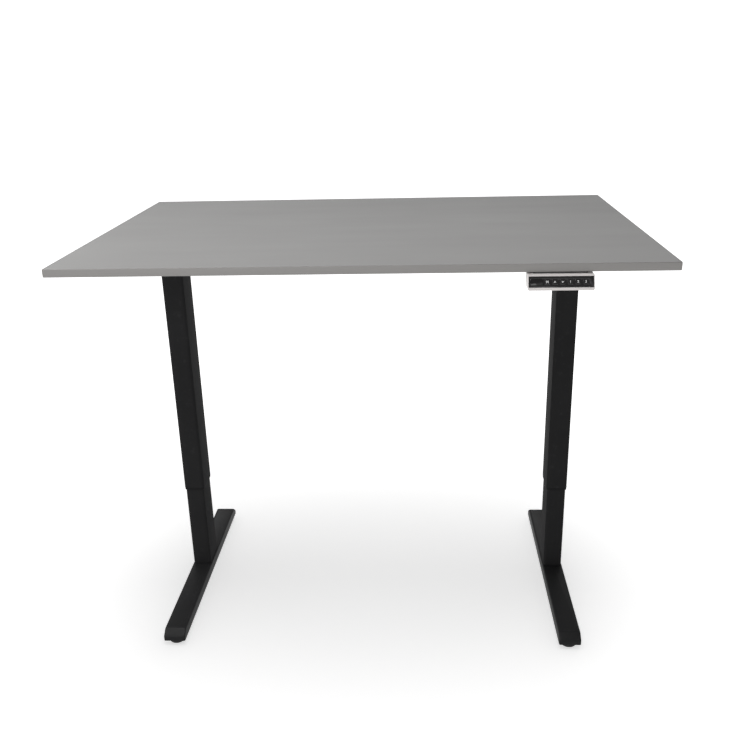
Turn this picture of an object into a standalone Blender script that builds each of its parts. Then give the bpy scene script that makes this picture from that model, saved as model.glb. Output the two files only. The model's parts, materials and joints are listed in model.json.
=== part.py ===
"""A two-column electric sit-stand desk: grey board top, black steel columns and feet, keypad at the front.

Run with: blender --background --python part.py
Units are metres, +Z is up, the sitter is on the -Y side, and the floor is z = 0.
"""

import math

import bmesh
import bpy
from mathutils import Matrix, Vector

# ---------------------------------------------------------------- driving dimensions
GAP = 0.0003  # what touching pieces keep between them

DESK_WIDTH = 1.200
DESK_DEPTH = 0.800
DESK_THICK = 0.016
DESK_TOP = 0.918  # the height that the desk is set to here
DESK_CORNER = 0.003
EDGE_BAND = 0.002
EDGE_CHAMFER = 0.0012

KEYPAD_REACH = 0.016  # how far the keypad stands out in front of the desk
DESK_Y = KEYPAD_REACH / 2  # the desk sits back by half of that, so that the whole object is centred
FRONT_Y = DESK_Y - DESK_DEPTH / 2
UNDERSIDE = DESK_TOP - DESK_THICK

COLUMN_X = 0.4575
COLUMN_Y = DESK_Y
OUTER_SIZE = (0.050, 0.080)
INNER_SIZE = (0.045, 0.075)
TUBE_WALL = 0.0018
OUTER_CORNER = 0.007
INNER_CORNER = 0.0055
OUTER_BOTTOM = 0.262
OUTER_TOP = 0.842
INNER_TOP = 0.600
COLLAR_HEIGHT = 0.006

FOOT_WIDTH = 0.050
FOOT_TOP = 0.037
FOOT_BOTTOM = 0.013
FOOT_FRONT = 0.327  # from the column's axis to the foot's front end
FOOT_BACK = 0.273
FOOT_NOSE = 0.018  # how far the sloped end runs, and how far it drops
FOOT_NOSE_DROP = 0.0135
FOOT_WALL = 0.0025
FOOT_EDGE = 0.003

GLIDE_RADIUS = 0.018
GLIDE_INSET = 0.026  # from the foot's end to the glide's axis

SPINDLE_RADIUS = 0.007
SPINDLE_BOTTOM = 0.300
JOURNAL_RADIUS = 0.006

WHEEL_TEETH = 20
GEAR_MODULE = 0.0015
WORM_PITCH_RADIUS = 0.007
WHEEL_PITCH_RADIUS = WHEEL_TEETH * GEAR_MODULE / 2
WORM_OFFSET = WORM_PITCH_RADIUS + WHEEL_PITCH_RADIUS
GEAR_Z = 0.868
WHEEL_FACE = 0.008

MOTOR_RADIUS = 0.022
MOTOR_LENGTH = 0.085
HOUSING_X = 0.023
HOUSING_Y = (-0.037, 0.023)
HOUSING_Z = (0.8463, 0.886)

PLATE_THICK = 0.003
BRACKET_X = 0.045
CHEEK_Y = 0.053
RAIL_SIZE = (0.020, 0.040)
RAIL_WALL = 0.0015
RAIL_HALF = 0.5025
SIDE_HALF = 0.280
SIDE_FLANGE = 0.045

KEYPAD_X = 0.379
KEYPAD_WIDTH = 0.122
KEYPAD_SHELF = 0.007  # the flat strip between the desk's edge and the sloped face
KEYPAD_DROP = 0.0238  # how far the sloped face falls
KEYPAD_LIP = 0.0048
KEYPAD_TAIL = 0.026  # how far it reaches back under the desk
KEYPAD_PLATE = (0.100, 0.0018)  # width and thickness of the plate that screws it to the desk
KEYPAD_RIM = 0.0015  # the silver rim at each side of the panel
KEYPAD_BROW = 0.0040  # the silver above the panel
PANEL_LENGTH = 0.0205  # along the slope
PANEL_THICK = 0.0020
BUTTON_SIDE = 0.0098
BUTTON_PITCH = 0.0141
BUTTON_COUNT = 6
BUTTON_SLIT = 0.0004
FIRST_BUTTON_X = -0.0257  # from the keypad's middle
BUTTON_FLANGE = 0.0118  # the step that keeps a button under the panel
WINDOW_SIZE = (0.022, 0.012)
WINDOW_X = -0.0455

CONTROL_HALF = (0.110, 0.040)
CONTROL_Z = (0.868, 0.8984)
MAINS_SIZE = (0.029, 0.021)

# ---------------------------------------------------------------- materials
FINISHES = {
    "board_grey": ((0.30, 0.297, 0.29), 0.45, 0.0),
    "edging_grey": ((0.27, 0.267, 0.26), 0.5, 0.0),
    "steel_black": ((0.022, 0.022, 0.022), 0.5, 0.6),
    "plastic_black": ((0.02, 0.02, 0.02), 0.55, 0.0),
    "gloss_black": ((0.008, 0.008, 0.009), 0.12, 0.0),
    "keypad_silver": ((0.52, 0.50, 0.49), 0.35, 0.3),
    "zinc": ((0.55, 0.55, 0.54), 0.35, 1.0),
    "brass_alloy": ((0.60, 0.46, 0.20), 0.35, 1.0),
    "nylon_white": ((0.75, 0.74, 0.70), 0.5, 0.0),
    "board_green": ((0.03, 0.14, 0.06), 0.5, 0.0),
    "aluminium_cast": ((0.45, 0.45, 0.45), 0.5, 0.9),
}


def make_material(name):
    """One Principled material from the table of finishes."""
    colour, roughness, metallic = FINISHES[name]
    material = bpy.data.materials.new(name)
    material.use_nodes = True
    shader = material.node_tree.nodes["Principled BSDF"]
    shader.inputs["Base Color"].default_value = (*colour, 1.0)
    shader.inputs["Roughness"].default_value = roughness
    shader.inputs["Metallic"].default_value = metallic
    return material


# ---------------------------------------------------------------- modelling helpers
def clear_scene():
    """Removes every object that the scene holds."""
    for obj in list(bpy.data.objects):
        bpy.data.objects.remove(obj)


def rounded_rect(width, depth, radius, steps=3, centre=(0.0, 0.0)):
    """The outline of a rectangle with round corners, anticlockwise, as (x, y) points."""
    points = []
    for quarter, (sx, sy) in enumerate(((1, 1), (-1, 1), (-1, -1), (1, -1))):
        cx = centre[0] + sx * (width / 2 - radius)
        cy = centre[1] + sy * (depth / 2 - radius)
        for step in range(steps + 1):
            angle = math.pi / 2 * (quarter + step / steps)
            points.append((cx + radius * math.cos(angle), cy + radius * math.sin(angle)))
    return points


def circle(radius, segments=24):
    """The outline of a circle, as (x, y) points."""
    turn = 2 * math.pi / segments
    return [(radius * math.cos(turn * i), radius * math.sin(turn * i)) for i in range(segments)]


def level(outline, z):
    """An outline laid flat at a height."""
    return [(x, y, z) for x, y in outline]


def add_mesh(name, vertices, faces, finish, smooth=False):
    """A named object from vertices and faces, with its normals facing out."""
    mesh = bpy.data.meshes.new(name)
    mesh.from_pydata(vertices, [], faces)
    work = bmesh.new()
    work.from_mesh(mesh)
    bmesh.ops.recalc_face_normals(work, faces=work.faces)
    work.to_mesh(mesh)
    work.free()
    mesh.materials.append(MATERIALS[finish])
    if smooth:
        mesh.shade_smooth()
        mesh.set_sharp_from_angle(angle=math.radians(35))
    obj = bpy.data.objects.new(name, mesh)
    bpy.context.scene.collection.objects.link(obj)
    return obj


def skin(name, loops, finish, ring=False, smooth=False):
    """A solid skinned over loops of as many points each: capped at both ends, or joined into a ring."""
    count = len(loops[0])
    vertices = [point for loop in loops for point in loop]
    faces = []
    spans = len(loops) if ring else len(loops) - 1
    for span in range(spans):
        low = span * count
        high = (span + 1) % len(loops) * count
        for i in range(count):
            j = (i + 1) % count
            faces.append((low + i, low + j, high + j, high + i))
    if not ring:
        faces.append(tuple(range(count)))
        faces.append(tuple(range(len(vertices) - count, len(vertices))))
    return add_mesh(name, vertices, faces, finish, smooth)


def prism(name, outline, low, high, finish, smooth=False):
    """A straight solid between two heights."""
    return skin(name, [level(outline, low), level(outline, high)], finish, smooth=smooth)


def block(name, low, high, finish="steel_black"):
    """A plain box between two corners."""
    outline = [(low[0], low[1]), (high[0], low[1]), (high[0], high[1]), (low[0], high[1])]
    return prism(name, outline, low[2], high[2], finish)


def tube(name, size, corner, wall, low, high, finish):
    """A rectangular steel tube standing on end."""
    outer = rounded_rect(*size, corner)
    inner = rounded_rect(size[0] - 2 * wall, size[1] - 2 * wall, corner - wall)
    loops = [level(outer, low), level(outer, high), level(inner, high), level(inner, low)]
    return skin(name, loops, finish, ring=True, smooth=True)


def turned(name, profile, finish, segments=24, smooth=True):
    """A round piece about +Z from (radius, height) points; it starts and ends on the axis, or is a ring."""
    on_axis = profile[0][0] == 0
    body = profile[1:-1] if on_axis else profile
    vertices = [(x, y, z) for radius, z in body for x, y in circle(radius, segments)]
    faces = []
    spans = len(body) - 1 if on_axis else len(body)
    for span in range(spans):
        low = span * segments
        high = (span + 1) % len(body) * segments
        for i in range(segments):
            j = (i + 1) % segments
            faces.append((low + i, low + j, high + j, high + i))
    if on_axis:
        first, last = len(vertices), len(vertices) + 1
        vertices += [(0, 0, profile[0][1]), (0, 0, profile[-1][1])]
        top = (len(body) - 1) * segments
        for i in range(segments):
            j = (i + 1) % segments
            faces.append((first, i, j))
            faces.append((last, top + i, top + j))
    return add_mesh(name, vertices, faces, finish, smooth)


def combine(target, operation, *tools):
    """Cuts tools from the target, or joins them to it, and leaves one plain mesh."""
    for tool in tools:
        modifier = target.modifiers.new(operation.lower(), "BOOLEAN")
        modifier.operation = operation
        modifier.solver = "EXACT"
        modifier.object = tool
    bpy.context.view_layer.update()
    graph = bpy.context.evaluated_depsgraph_get()
    mesh = bpy.data.meshes.new_from_object(target.evaluated_get(graph))
    target.modifiers.clear()
    target.data = mesh
    for tool in tools:
        bpy.data.objects.remove(tool)
    return target


def drill(target, holes, radius, low, high, segments=16):
    """Round holes straight down through the target at (x, y) places in its own frame."""
    tools = []
    for x, y in holes:
        tool = prism("drill", circle(radius, segments), low, high, "steel_black")
        tool.data.transform(Matrix.Translation((x, y, 0)))
        tools.append(tool)
    return combine(target, "DIFFERENCE", *tools)


def add_empty(name, location, turn=(0.0, 0.0, 0.0), parent=None):
    """A frame that pieces hang on."""
    empty = bpy.data.objects.new(name, None)
    empty.location = location
    empty.rotation_euler = turn
    empty.parent = parent
    bpy.context.scene.collection.objects.link(empty)
    return empty


def place(obj, parent, location=(0.0, 0.0, 0.0), turn=(0.0, 0.0, 0.0)):
    """Hangs a piece on a frame."""
    obj.parent = parent
    obj.location = location
    obj.rotation_euler = turn
    return obj


def smooth_route(points, per_span=6):
    """Points along a smooth curve through the given ones."""
    ends = [points[0] * 2 - points[1], *points, points[-1] * 2 - points[-2]]
    route = []
    for i in range(len(points) - 1):
        a, b, c, d = ends[i : i + 4]
        for step in range(per_span):
            t = step / per_span
            route.append(
                0.5 * (
                    (2 * b) + (c - a) * t + (2 * a - 5 * b + 4 * c - d) * t**2 + (3 * b - a - 3 * c + d) * t**3
                )
            )
    return [*route, points[-1]]


# ---------------------------------------------------------------- the top
def build_top():
    """The board and the edging strip round it."""
    frame = add_empty("top_frame", (0, DESK_Y, 0))
    board_size = (DESK_WIDTH - 2 * (EDGE_BAND + GAP), DESK_DEPTH - 2 * (EDGE_BAND + GAP))
    board = prism("desktop_board", rounded_rect(*board_size, 0.001, 1), UNDERSIDE, DESK_TOP, "board_grey")
    place(board, frame)

    full = rounded_rect(DESK_WIDTH, DESK_DEPTH, DESK_CORNER)
    inset = rounded_rect(
        DESK_WIDTH - 2 * EDGE_CHAMFER, DESK_DEPTH - 2 * EDGE_CHAMFER, DESK_CORNER - EDGE_CHAMFER
    )
    inner = rounded_rect(board_size[0] + 2 * GAP, board_size[1] + 2 * GAP, 0.001)
    loops = [
        level(inner, UNDERSIDE),
        level(inset, UNDERSIDE),
        level(full, UNDERSIDE + EDGE_CHAMFER),
        level(full, DESK_TOP - EDGE_CHAMFER),
        level(inset, DESK_TOP),
        level(inner, DESK_TOP),
    ]
    place(skin("edge_band", loops, "edging_grey", ring=True), frame)


# ---------------------------------------------------------------- the frame under the top
def build_rails():
    """Two box-section rails along the desk, with the column heads between them."""
    centre_y = CHEEK_Y + GAP + RAIL_SIZE[0] / 2
    centre_z = UNDERSIDE - GAP - RAIL_SIZE[1] / 2
    for name, side in (("rail_front", -1), ("rail_back", 1)):
        section = (RAIL_SIZE[1], RAIL_SIZE[0])
        rail = tube(name, section, 0.003, RAIL_WALL, -RAIL_HALF, RAIL_HALF, "steel_black")
        # the tube stands on end in its own frame, and this lays it along X
        place(rail, None, (0, DESK_Y + side * centre_y, centre_z), (0, math.radians(90), 0))


def build_side_bracket(name, side):
    """A steel angle across the desk's end: a flange against the board and a web that tapers to its ends."""
    top = UNDERSIDE - GAP
    web_x = (RAIL_HALF + 0.0005) * side
    web_outline = [
        (-SIDE_HALF, top), (-SIDE_HALF, top - 0.015), (-0.100, top - RAIL_SIZE[1]),
        (0.100, top - RAIL_SIZE[1]), (SIDE_HALF, top - 0.015), (SIDE_HALF, top),
    ]
    loops = [[(x, y, z) for y, z in web_outline] for x in (web_x, web_x + side * PLATE_THICK)]
    bracket = skin(name, loops, "steel_black")
    x_pair = sorted((web_x, web_x + side * SIDE_FLANGE))
    flange = block("flange", (x_pair[0], -SIDE_HALF, top - PLATE_THICK), (x_pair[1], SIDE_HALF, top))
    combine(bracket, "UNION", flange)
    hole_x = web_x + side * SIDE_FLANGE * 0.6
    drill(bracket, [(hole_x, y) for y in (-0.250, -0.130, 0.130, 0.250)], 0.003, top - 0.02, top + 0.01)
    place(bracket, None, (0, DESK_Y, 0))


def build_head_bracket(name, frame):
    """A channel on top of the column: a base plate and two upright cheeks that bolt to the rails."""
    base_z = (OUTER_TOP, OUTER_TOP + PLATE_THICK)
    cheek_top = UNDERSIDE - 0.005
    outline = [
        (-CHEEK_Y, base_z[0]), (CHEEK_Y, base_z[0]), (CHEEK_Y, cheek_top), (CHEEK_Y - PLATE_THICK, cheek_top),
        (CHEEK_Y - PLATE_THICK, base_z[1]), (PLATE_THICK - CHEEK_Y, base_z[1]),
        (PLATE_THICK - CHEEK_Y, cheek_top), (-CHEEK_Y, cheek_top),
    ]
    loops = [[(x, y, z) for y, z in outline] for x in (-BRACKET_X, BRACKET_X)]
    bracket = skin(name, loops, "steel_black")
    drill(bracket, [(0, 0)], 0.010, base_z[0] - 0.01, base_z[1] + 0.01, 24)
    place(bracket, frame)


# ---------------------------------------------------------------- a leg
def build_foot(name, frame):
    """A folded steel foot: a shallow channel, open below, with sloped ends and a boss for each glide."""
    def outline(inset):
        slope = inset * 0.6
        front, back = -FOOT_FRONT + inset, FOOT_BACK - inset
        low = FOOT_BOTTOM - (0.01 if inset else 0)
        shoulder = FOOT_TOP - FOOT_NOSE_DROP - slope
        return [
            (front, low), (front, shoulder), (front + FOOT_NOSE, FOOT_TOP - inset),
            (back - FOOT_NOSE, FOOT_TOP - inset), (back, shoulder), (back, low),
        ]

    def shell(label, inset, edge):
        half = FOOT_WIDTH / 2 - inset
        loops = [[(x, y, z) for y, z in outline(inset)] for x in (-half, half)]
        solid = skin(label, loops, "steel_black")
        if edge:
            bevel = solid.modifiers.new("edge", "BEVEL")
            bevel.width = edge
            bevel.segments = 3
            bevel.limit_method = "ANGLE"
            bevel.angle_limit = math.radians(60)
        return solid

    foot = combine(shell(name, 0, FOOT_EDGE), "DIFFERENCE", shell("cavity", FOOT_WALL, 0))
    bosses = []
    for y in (-FOOT_FRONT + GLIDE_INSET, FOOT_BACK - GLIDE_INSET):
        boss = prism("boss", circle(0.009, 20), FOOT_TOP - 0.016, FOOT_TOP - FOOT_WALL / 2, "steel_black")
        boss.data.transform(Matrix.Translation((0, y, 0)))
        bosses.append(boss)
    combine(foot, "UNION", *bosses)
    glide_ys = (-FOOT_FRONT + GLIDE_INSET, FOOT_BACK - GLIDE_INSET)
    drill(foot, [(0, y) for y in glide_ys], 0.0043, 0, FOOT_TOP - FOOT_WALL - 0.0005)
    drill(foot, [(x, y) for x in (-0.011, 0.011) for y in (-0.024, 0.024)], 0.0035, 0, FOOT_TOP + 0.01, 12)
    foot.data.shade_smooth()
    foot.data.set_sharp_from_angle(angle=math.radians(35))
    place(foot, frame)
    return glide_ys


def build_glide(name, frame, y):
    """A levelling glide: a round plastic pad moulded on a hexagon and a threaded stud."""
    profile = [
        (0, 0), (GLIDE_RADIUS - 0.0015, 0), (GLIDE_RADIUS, 0.0020), (GLIDE_RADIUS - 0.001, 0.0060),
        (0.0100, 0.0075), (0.0100, 0.0120), (0.0040, 0.0120), (0.0040, 0.0270), (0.0032, 0.0278), (0, 0.0278),
    ]
    place(turned(name, profile, "plastic_black"), frame, (0, y, 0))


def build_inner_column(side, frame):
    """What stays with the foot: the inner tube, its bolting plate, its top glide cap and the spindle nut."""
    tube_bottom = FOOT_TOP + GAP
    inner = tube(
        f"inner_column_{side}", INNER_SIZE, INNER_CORNER, TUBE_WALL, tube_bottom, INNER_TOP, "steel_black"
    )
    place(inner, frame)

    room = (INNER_SIZE[0] - 2 * TUBE_WALL - 2 * GAP, INNER_SIZE[1] - 2 * TUBE_WALL - 2 * GAP)
    plate = prism(f"foot_plate_{side}", rounded_rect(*room, 0.003), tube_bottom, tube_bottom + 0.008, "zinc")
    drill(plate, [(x, y) for x in (-0.011, 0.011) for y in (-0.024, 0.024)], 0.0034, 0, 0.1, 12)
    place(plate, frame)

    cap_size = (OUTER_SIZE[0] - 2 * TUBE_WALL - 0.0006, OUTER_SIZE[1] - 2 * TUBE_WALL - 0.0006)
    cap_z = (INNER_TOP + GAP, INNER_TOP + 0.018)
    cap = prism(f"glide_cap_{side}", rounded_rect(*cap_size, 0.0048), *cap_z, "nylon_white", smooth=True)
    drill(cap, [(0, 0)], 0.0153, cap_z[0] - 0.01, cap_z[1] + 0.01, 24)
    place(cap, frame)

    bore = SPINDLE_RADIUS + GAP
    profile = [
        (bore, INNER_TOP - 0.030), (0.0150, INNER_TOP - 0.030), (0.0150, cap_z[1] + GAP),
        (0.0190, cap_z[1] + GAP), (0.0190, cap_z[1] + 0.006), (bore, cap_z[1] + 0.006),
    ]
    place(turned(f"spindle_nut_{side}", profile, "brass_alloy"), frame)


def build_outer_column(side, frame):
    """What rises with the desk: the outer tube and the collar at its mouth."""
    upper_end = OUTER_TOP - GAP
    outer = tube(
        f"outer_column_{side}", OUTER_SIZE, OUTER_CORNER, TUBE_WALL, OUTER_BOTTOM, upper_end, "steel_black"
    )
    place(outer, frame)

    def ring(shrink):
        return rounded_rect(OUTER_SIZE[0] - shrink, OUTER_SIZE[1] - shrink, OUTER_CORNER - shrink / 2)

    hole = rounded_rect(INNER_SIZE[0] + 0.0006, INNER_SIZE[1] + 0.0006, INNER_CORNER)
    top, low = OUTER_BOTTOM - GAP, OUTER_BOTTOM - COLLAR_HEIGHT
    loops = [
        level(hole, low), level(ring(0.003), low), level(ring(0.0006), low + 0.002),
        level(ring(0.0006), top), level(hole, top),
    ]
    place(skin(f"column_collar_{side}", loops, "plastic_black", ring=True, smooth=True), frame)
    build_head_bracket(f"head_bracket_{side}", frame)


# ---------------------------------------------------------------- the drive of one leg
def worm_mesh(name):
    """A single-start right-handed worm along +X, skinned along its own helix, on a plain shaft."""
    pitch = math.pi * GEAR_MODULE
    root, tip = WORM_PITCH_RADIUS - 0.0017, WORM_PITCH_RADIUS + 0.0013
    # one thread from side to side: share of the pitch, and whether it is on the crest
    stations = [(0.00, 0), (0.36, 0), (0.52, 1), (0.70, 1), (0.86, 0)]
    crest_middle = 0.61
    segments, turns = 20, 4
    per_turn = len(stations)
    rows = per_turn * turns + 1
    start = -pitch * (turns / 2 + crest_middle)

    def point(row, step):
        turn, station = divmod(row, per_turn)
        share, on_crest = stations[station]
        along = turn + step / segments
        # the thread runs out over half a turn at each end
        height = max(0.0, min(1.0, 2 * along, 2 * (turns - along)))
        radius = root + (tip - root) * on_crest * height
        angle = 2 * math.pi * step / segments
        return (start + pitch * (share + along), radius * math.cos(angle), radius * math.sin(angle))

    # rows per_turn apart are one thread apart, so a row's last step is the later row's first one
    index = {}
    vertices = []
    for row in range(rows):
        for step in range(segments):
            index[row, step] = len(vertices)
            vertices.append(point(row, step))
    for row in range(rows - per_turn, rows):
        index[row + per_turn, 0] = len(vertices)
        vertices.append(point(row + per_turn, 0))
    for row in range(rows):
        index[row, segments] = index[row + per_turn, 0]
    faces = []
    for row in range(rows - 1):
        for step in range(segments):
            faces.append((
                index[row, step], index[row + 1, step], index[row + 1, step + 1], index[row, step + 1],
            ))
    ends = (
        [index[0, step] for step in range(segments + 1)]
        + [index[row, 0] for row in range(per_turn - 1, 0, -1)],
        [index[rows - 1, step] for step in range(segments + 1)]
        + [index[row, 0] for row in range(rows + per_turn - 2, rows - 1, -1)],
    )
    for loop, x in zip(ends, (start - 0.0005, start + pitch * (turns + 1) + 0.0005)):
        centre = len(vertices)
        vertices.append((x, 0, 0))
        for i, first in enumerate(loop):
            faces.append((centre, first, loop[(i + 1) % len(loop)]))
    worm = add_mesh(name, vertices, faces, "zinc")
    shaft = turned("shaft", [(0, -0.018), (0.004, -0.018), (0.004, 0.042), (0, 0.042)], "zinc", 20)
    shaft.data.transform(Matrix.Rotation(math.radians(90), 4, "Y"))
    return combine(worm, "UNION", shaft)


def wheel_mesh(name):
    """The worm wheel: helical teeth with the worm's lead angle, about +Z, bored for the spindle's journal."""
    twist_per_metre = GEAR_MODULE / (2 * WORM_PITCH_RADIUS) / WHEEL_PITCH_RADIUS
    root, tip = WHEEL_PITCH_RADIUS - 0.0019, WHEEL_PITCH_RADIUS + 0.0011
    tooth = 2 * math.pi / WHEEL_TEETH
    corners = [(-0.30, root), (-0.105, tip), (0.105, tip), (0.30, root)]

    def outline(z):
        twist = twist_per_metre * (z - GEAR_Z)
        points = []
        for i in range(WHEEL_TEETH):
            for share, radius in corners:
                # a tooth gap faces the worm's crest, which lies at -Y
                angle = -math.pi / 2 + tooth * (i + 0.5 + share) + twist
                points.append((radius * math.cos(angle), radius * math.sin(angle), z))
        return points

    heights = [GEAR_Z + WHEEL_FACE * share for share in (-0.5, 0, 0.5)]
    wheel = skin(name, [outline(z) for z in heights], "nylon_white")
    return drill(wheel, [(0, 0)], JOURNAL_RADIUS + GAP, GEAR_Z - 0.02, GEAR_Z + 0.02, 24)


def build_drive(side, frame):
    """Motor, worm gear, its housing, the spindle and the bearing that carries it."""
    y_mid = sum(HOUSING_Y) / 2
    outline = rounded_rect(2 * HOUSING_X, HOUSING_Y[1] - HOUSING_Y[0], 0.005, centre=(0, y_mid))
    housing = prism(f"gear_housing_{side}", outline, *HOUSING_Z, "aluminium_cast")
    wall = 0.0035
    room = rounded_rect(
        2 * (HOUSING_X - wall), HOUSING_Y[1] - HOUSING_Y[0] - 2 * wall, 0.002, centre=(0, y_mid)
    )
    cavity = prism("cavity", room, 0.857, HOUSING_Z[1] + 0.01, "aluminium_cast")
    pocket = prism("pocket", circle(0.0133), 0.849, 0.860, "aluminium_cast")
    throat = prism("throat", circle(0.0095), 0.840, 0.852, "aluminium_cast")
    shaft_hole = prism("shaft_hole", circle(0.0048, 16), HOUSING_X - 0.008, HOUSING_X + 0.01, "aluminium_cast")
    shaft_hole.data.transform(
        Matrix.Translation((0, -WORM_OFFSET, GEAR_Z)) @ Matrix.Rotation(math.radians(90), 4, "Y")
    )
    combine(housing, "DIFFERENCE", cavity, pocket, throat, shaft_hole)
    place(housing, frame)
    cover = prism(f"gear_cover_{side}", outline, HOUSING_Z[1] + GAP, HOUSING_Z[1] + 0.0045, "aluminium_cast")
    place(cover, frame)

    bearing = turned(
        f"spindle_bearing_{side}",
        [(JOURNAL_RADIUS + GAP, 0.8493), (0.0130, 0.8493), (0.0130, 0.8567), (JOURNAL_RADIUS + GAP, 0.8567)],
        "zinc",
    )
    place(bearing, frame)
    spindle = turned(
        f"spindle_{side}",
        [
            (0, SPINDLE_BOTTOM), (SPINDLE_RADIUS - 0.001, SPINDLE_BOTTOM),
            (SPINDLE_RADIUS, SPINDLE_BOTTOM + 0.001),
            (SPINDLE_RADIUS, 0.8485), (JOURNAL_RADIUS, 0.8485), (JOURNAL_RADIUS, 0.8760), (0, 0.8760),
        ],
        "zinc",
    )
    place(spindle, frame)
    place(wheel_mesh(f"worm_wheel_{side}"), frame)
    place(worm_mesh(f"worm_shaft_{side}"), frame, (0, -WORM_OFFSET, GEAR_Z))

    bore = 0.0046
    motor = turned(
        f"motor_{side}",
        [
            (0, 0.022), (bore, 0.022), (bore, 0), (0.016, 0),
            (MOTOR_RADIUS - 0.001, 0.003), (MOTOR_RADIUS, 0.004),
            (MOTOR_RADIUS, MOTOR_LENGTH - 0.004), (MOTOR_RADIUS - 0.003, MOTOR_LENGTH),
            (0.008, MOTOR_LENGTH), (0.008, MOTOR_LENGTH + 0.006), (0, MOTOR_LENGTH + 0.006),
        ],
        "plastic_black",
        32,
    )
    place(motor, frame, (HOUSING_X + GAP, -WORM_OFFSET, GEAR_Z), (0, math.radians(90), 0))


def build_leg(side, sign):
    """One leg, left or right. The drive is the same unit on both, so the right one is turned round."""
    leg = add_empty(f"leg_{side}", (sign * COLUMN_X, COLUMN_Y, 0))
    for end, y in zip(("front", "back"), build_foot(f"foot_{side}", leg)):
        build_glide(f"glide_{end}_{side}", leg, y)
    build_inner_column(side, leg)
    build_outer_column(side, leg)
    drive = add_empty(f"drive_{side}", (sign * COLUMN_X, COLUMN_Y, 0), (0, 0, math.pi if sign > 0 else 0))
    build_drive(side, drive)


# ---------------------------------------------------------------- the keypad
def build_keypad():
    """A wedge under the front edge: silver shell, black sloped panel, display window and six buttons."""
    run = KEYPAD_REACH - KEYPAD_SHELF
    slope = math.atan2(KEYPAD_DROP, run)
    plate_width, plate_thick = KEYPAD_PLATE
    plate = block(
        "keypad_plate",
        (-plate_width / 2, 0.0, GAP),
        (plate_width / 2, KEYPAD_TAIL + 0.008, GAP + plate_thick),
        "plastic_black",
    )
    holes = [(x, KEYPAD_TAIL + 0.003) for x in (-0.040, 0.040)]
    drill(plate, holes, 0.002, -0.01, 0.01, 12)
    keypad = add_empty("keypad_frame", (KEYPAD_X, FRONT_Y, UNDERSIDE - plate_thick - 2 * GAP))
    place(plate, keypad)

    front, bottom = -KEYPAD_REACH, -KEYPAD_DROP - KEYPAD_LIP
    # side view of the shell, from the desk's edge: y back, z up
    side_view = [
        (KEYPAD_TAIL, 0), (-KEYPAD_SHELF, 0), (front, -KEYPAD_DROP), (front, bottom),
        (0.010, bottom), (KEYPAD_TAIL, -KEYPAD_DROP + 0.006),
    ]
    half = KEYPAD_WIDTH / 2
    loops = [[(x, y, z) for y, z in side_view] for x in (-half, half)]
    shell = skin("keypad_shell", loops, "keypad_silver")
    # the sloped face has its own frame: x along the desk, y up the slope, z out of the face
    down_slope = Vector((0, -math.cos(slope), -math.sin(slope)))
    face_centre = Vector((0, -KEYPAD_SHELF, 0)) + down_slope * (KEYPAD_BROW + PANEL_LENGTH / 2)
    face = add_empty("keypad_face", face_centre, (slope, 0, 0), keypad)
    to_face = Matrix.Translation(face_centre) @ Matrix.Rotation(slope, 4, "X")
    panel_half = (KEYPAD_WIDTH / 2 - KEYPAD_RIM, PANEL_LENGTH / 2)
    pocket = block("pocket", (-0.0555, -0.0098, -0.0070), (0.0555, 0.0098, 0.001), "keypad_silver")
    seat = block(
        "seat",
        (-panel_half[0] - GAP, -panel_half[1] - GAP, -PANEL_THICK - GAP),
        (panel_half[0] + GAP, panel_half[1] + GAP, 0.010),
        "keypad_silver",
    )
    for tool in (pocket, seat):
        tool.data.transform(to_face)
    combine(shell, "DIFFERENCE", seat, pocket)
    place(shell, keypad)

    circuit = prism("keypad_circuit", rounded_rect(0.108, 0.019, 0.001, 1), -0.0066, -0.0054, "board_green")
    switches = []
    for i in range(BUTTON_COUNT):
        x = FIRST_BUTTON_X + BUTTON_PITCH * i
        switches.append(block("switch", (x - 0.003, -0.003, -0.0060), (x + 0.003, 0.003, -0.0040)))
    combine(circuit, "UNION", *switches)
    place(circuit, face)

    panel_outline = rounded_rect(2 * panel_half[0], PANEL_LENGTH, 0.0008, 2)
    panel = prism("keypad_panel", panel_outline, -PANEL_THICK, 0, "gloss_black")
    cutters = []
    for i in range(BUTTON_COUNT):
        slot = BUTTON_SIDE + 2 * BUTTON_SLIT
        x = FIRST_BUTTON_X + BUTTON_PITCH * i
        outline = rounded_rect(slot, slot, 0.0014, 2, (x, 0))
        cutters.append(prism("button_slot", outline, -0.01, 0.01, "gloss_black"))
    window_slot = rounded_rect(WINDOW_SIZE[0] + 2 * GAP, WINDOW_SIZE[1] + 2 * GAP, 0.001, 1, (WINDOW_X, 0))
    cutters.append(prism("window_slot", window_slot, -0.01, 0.01, "gloss_black"))
    combine(panel, "DIFFERENCE", *cutters)
    place(panel, face)
    window = prism("display_window", rounded_rect(*WINDOW_SIZE, 0.0008, 1), -0.0018, -0.0002, "gloss_black")
    place(window, face, (WINDOW_X, 0, 0))

    names = ("memory", "up", "down", "preset_one", "preset_two", "preset_three")
    for i, name in enumerate(names):
        flange = rounded_rect(BUTTON_FLANGE, BUTTON_FLANGE, 0.0012, 2)
        outline = rounded_rect(BUTTON_SIDE, BUTTON_SIDE, 0.0012, 2)
        crown = rounded_rect(BUTTON_SIDE - 0.0010, BUTTON_SIDE - 0.0010, 0.0009, 2)
        under_panel = -PANEL_THICK - GAP
        loops = [
            level(flange, under_panel - 0.0008), level(flange, under_panel), level(outline, under_panel),
            level(outline, 0.0001), level(crown, 0.0004),
        ]
        button = skin(f"button_{name}", loops, "gloss_black")
        place(button, face, (FIRST_BUTTON_X + BUTTON_PITCH * i, 0, 0))


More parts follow.
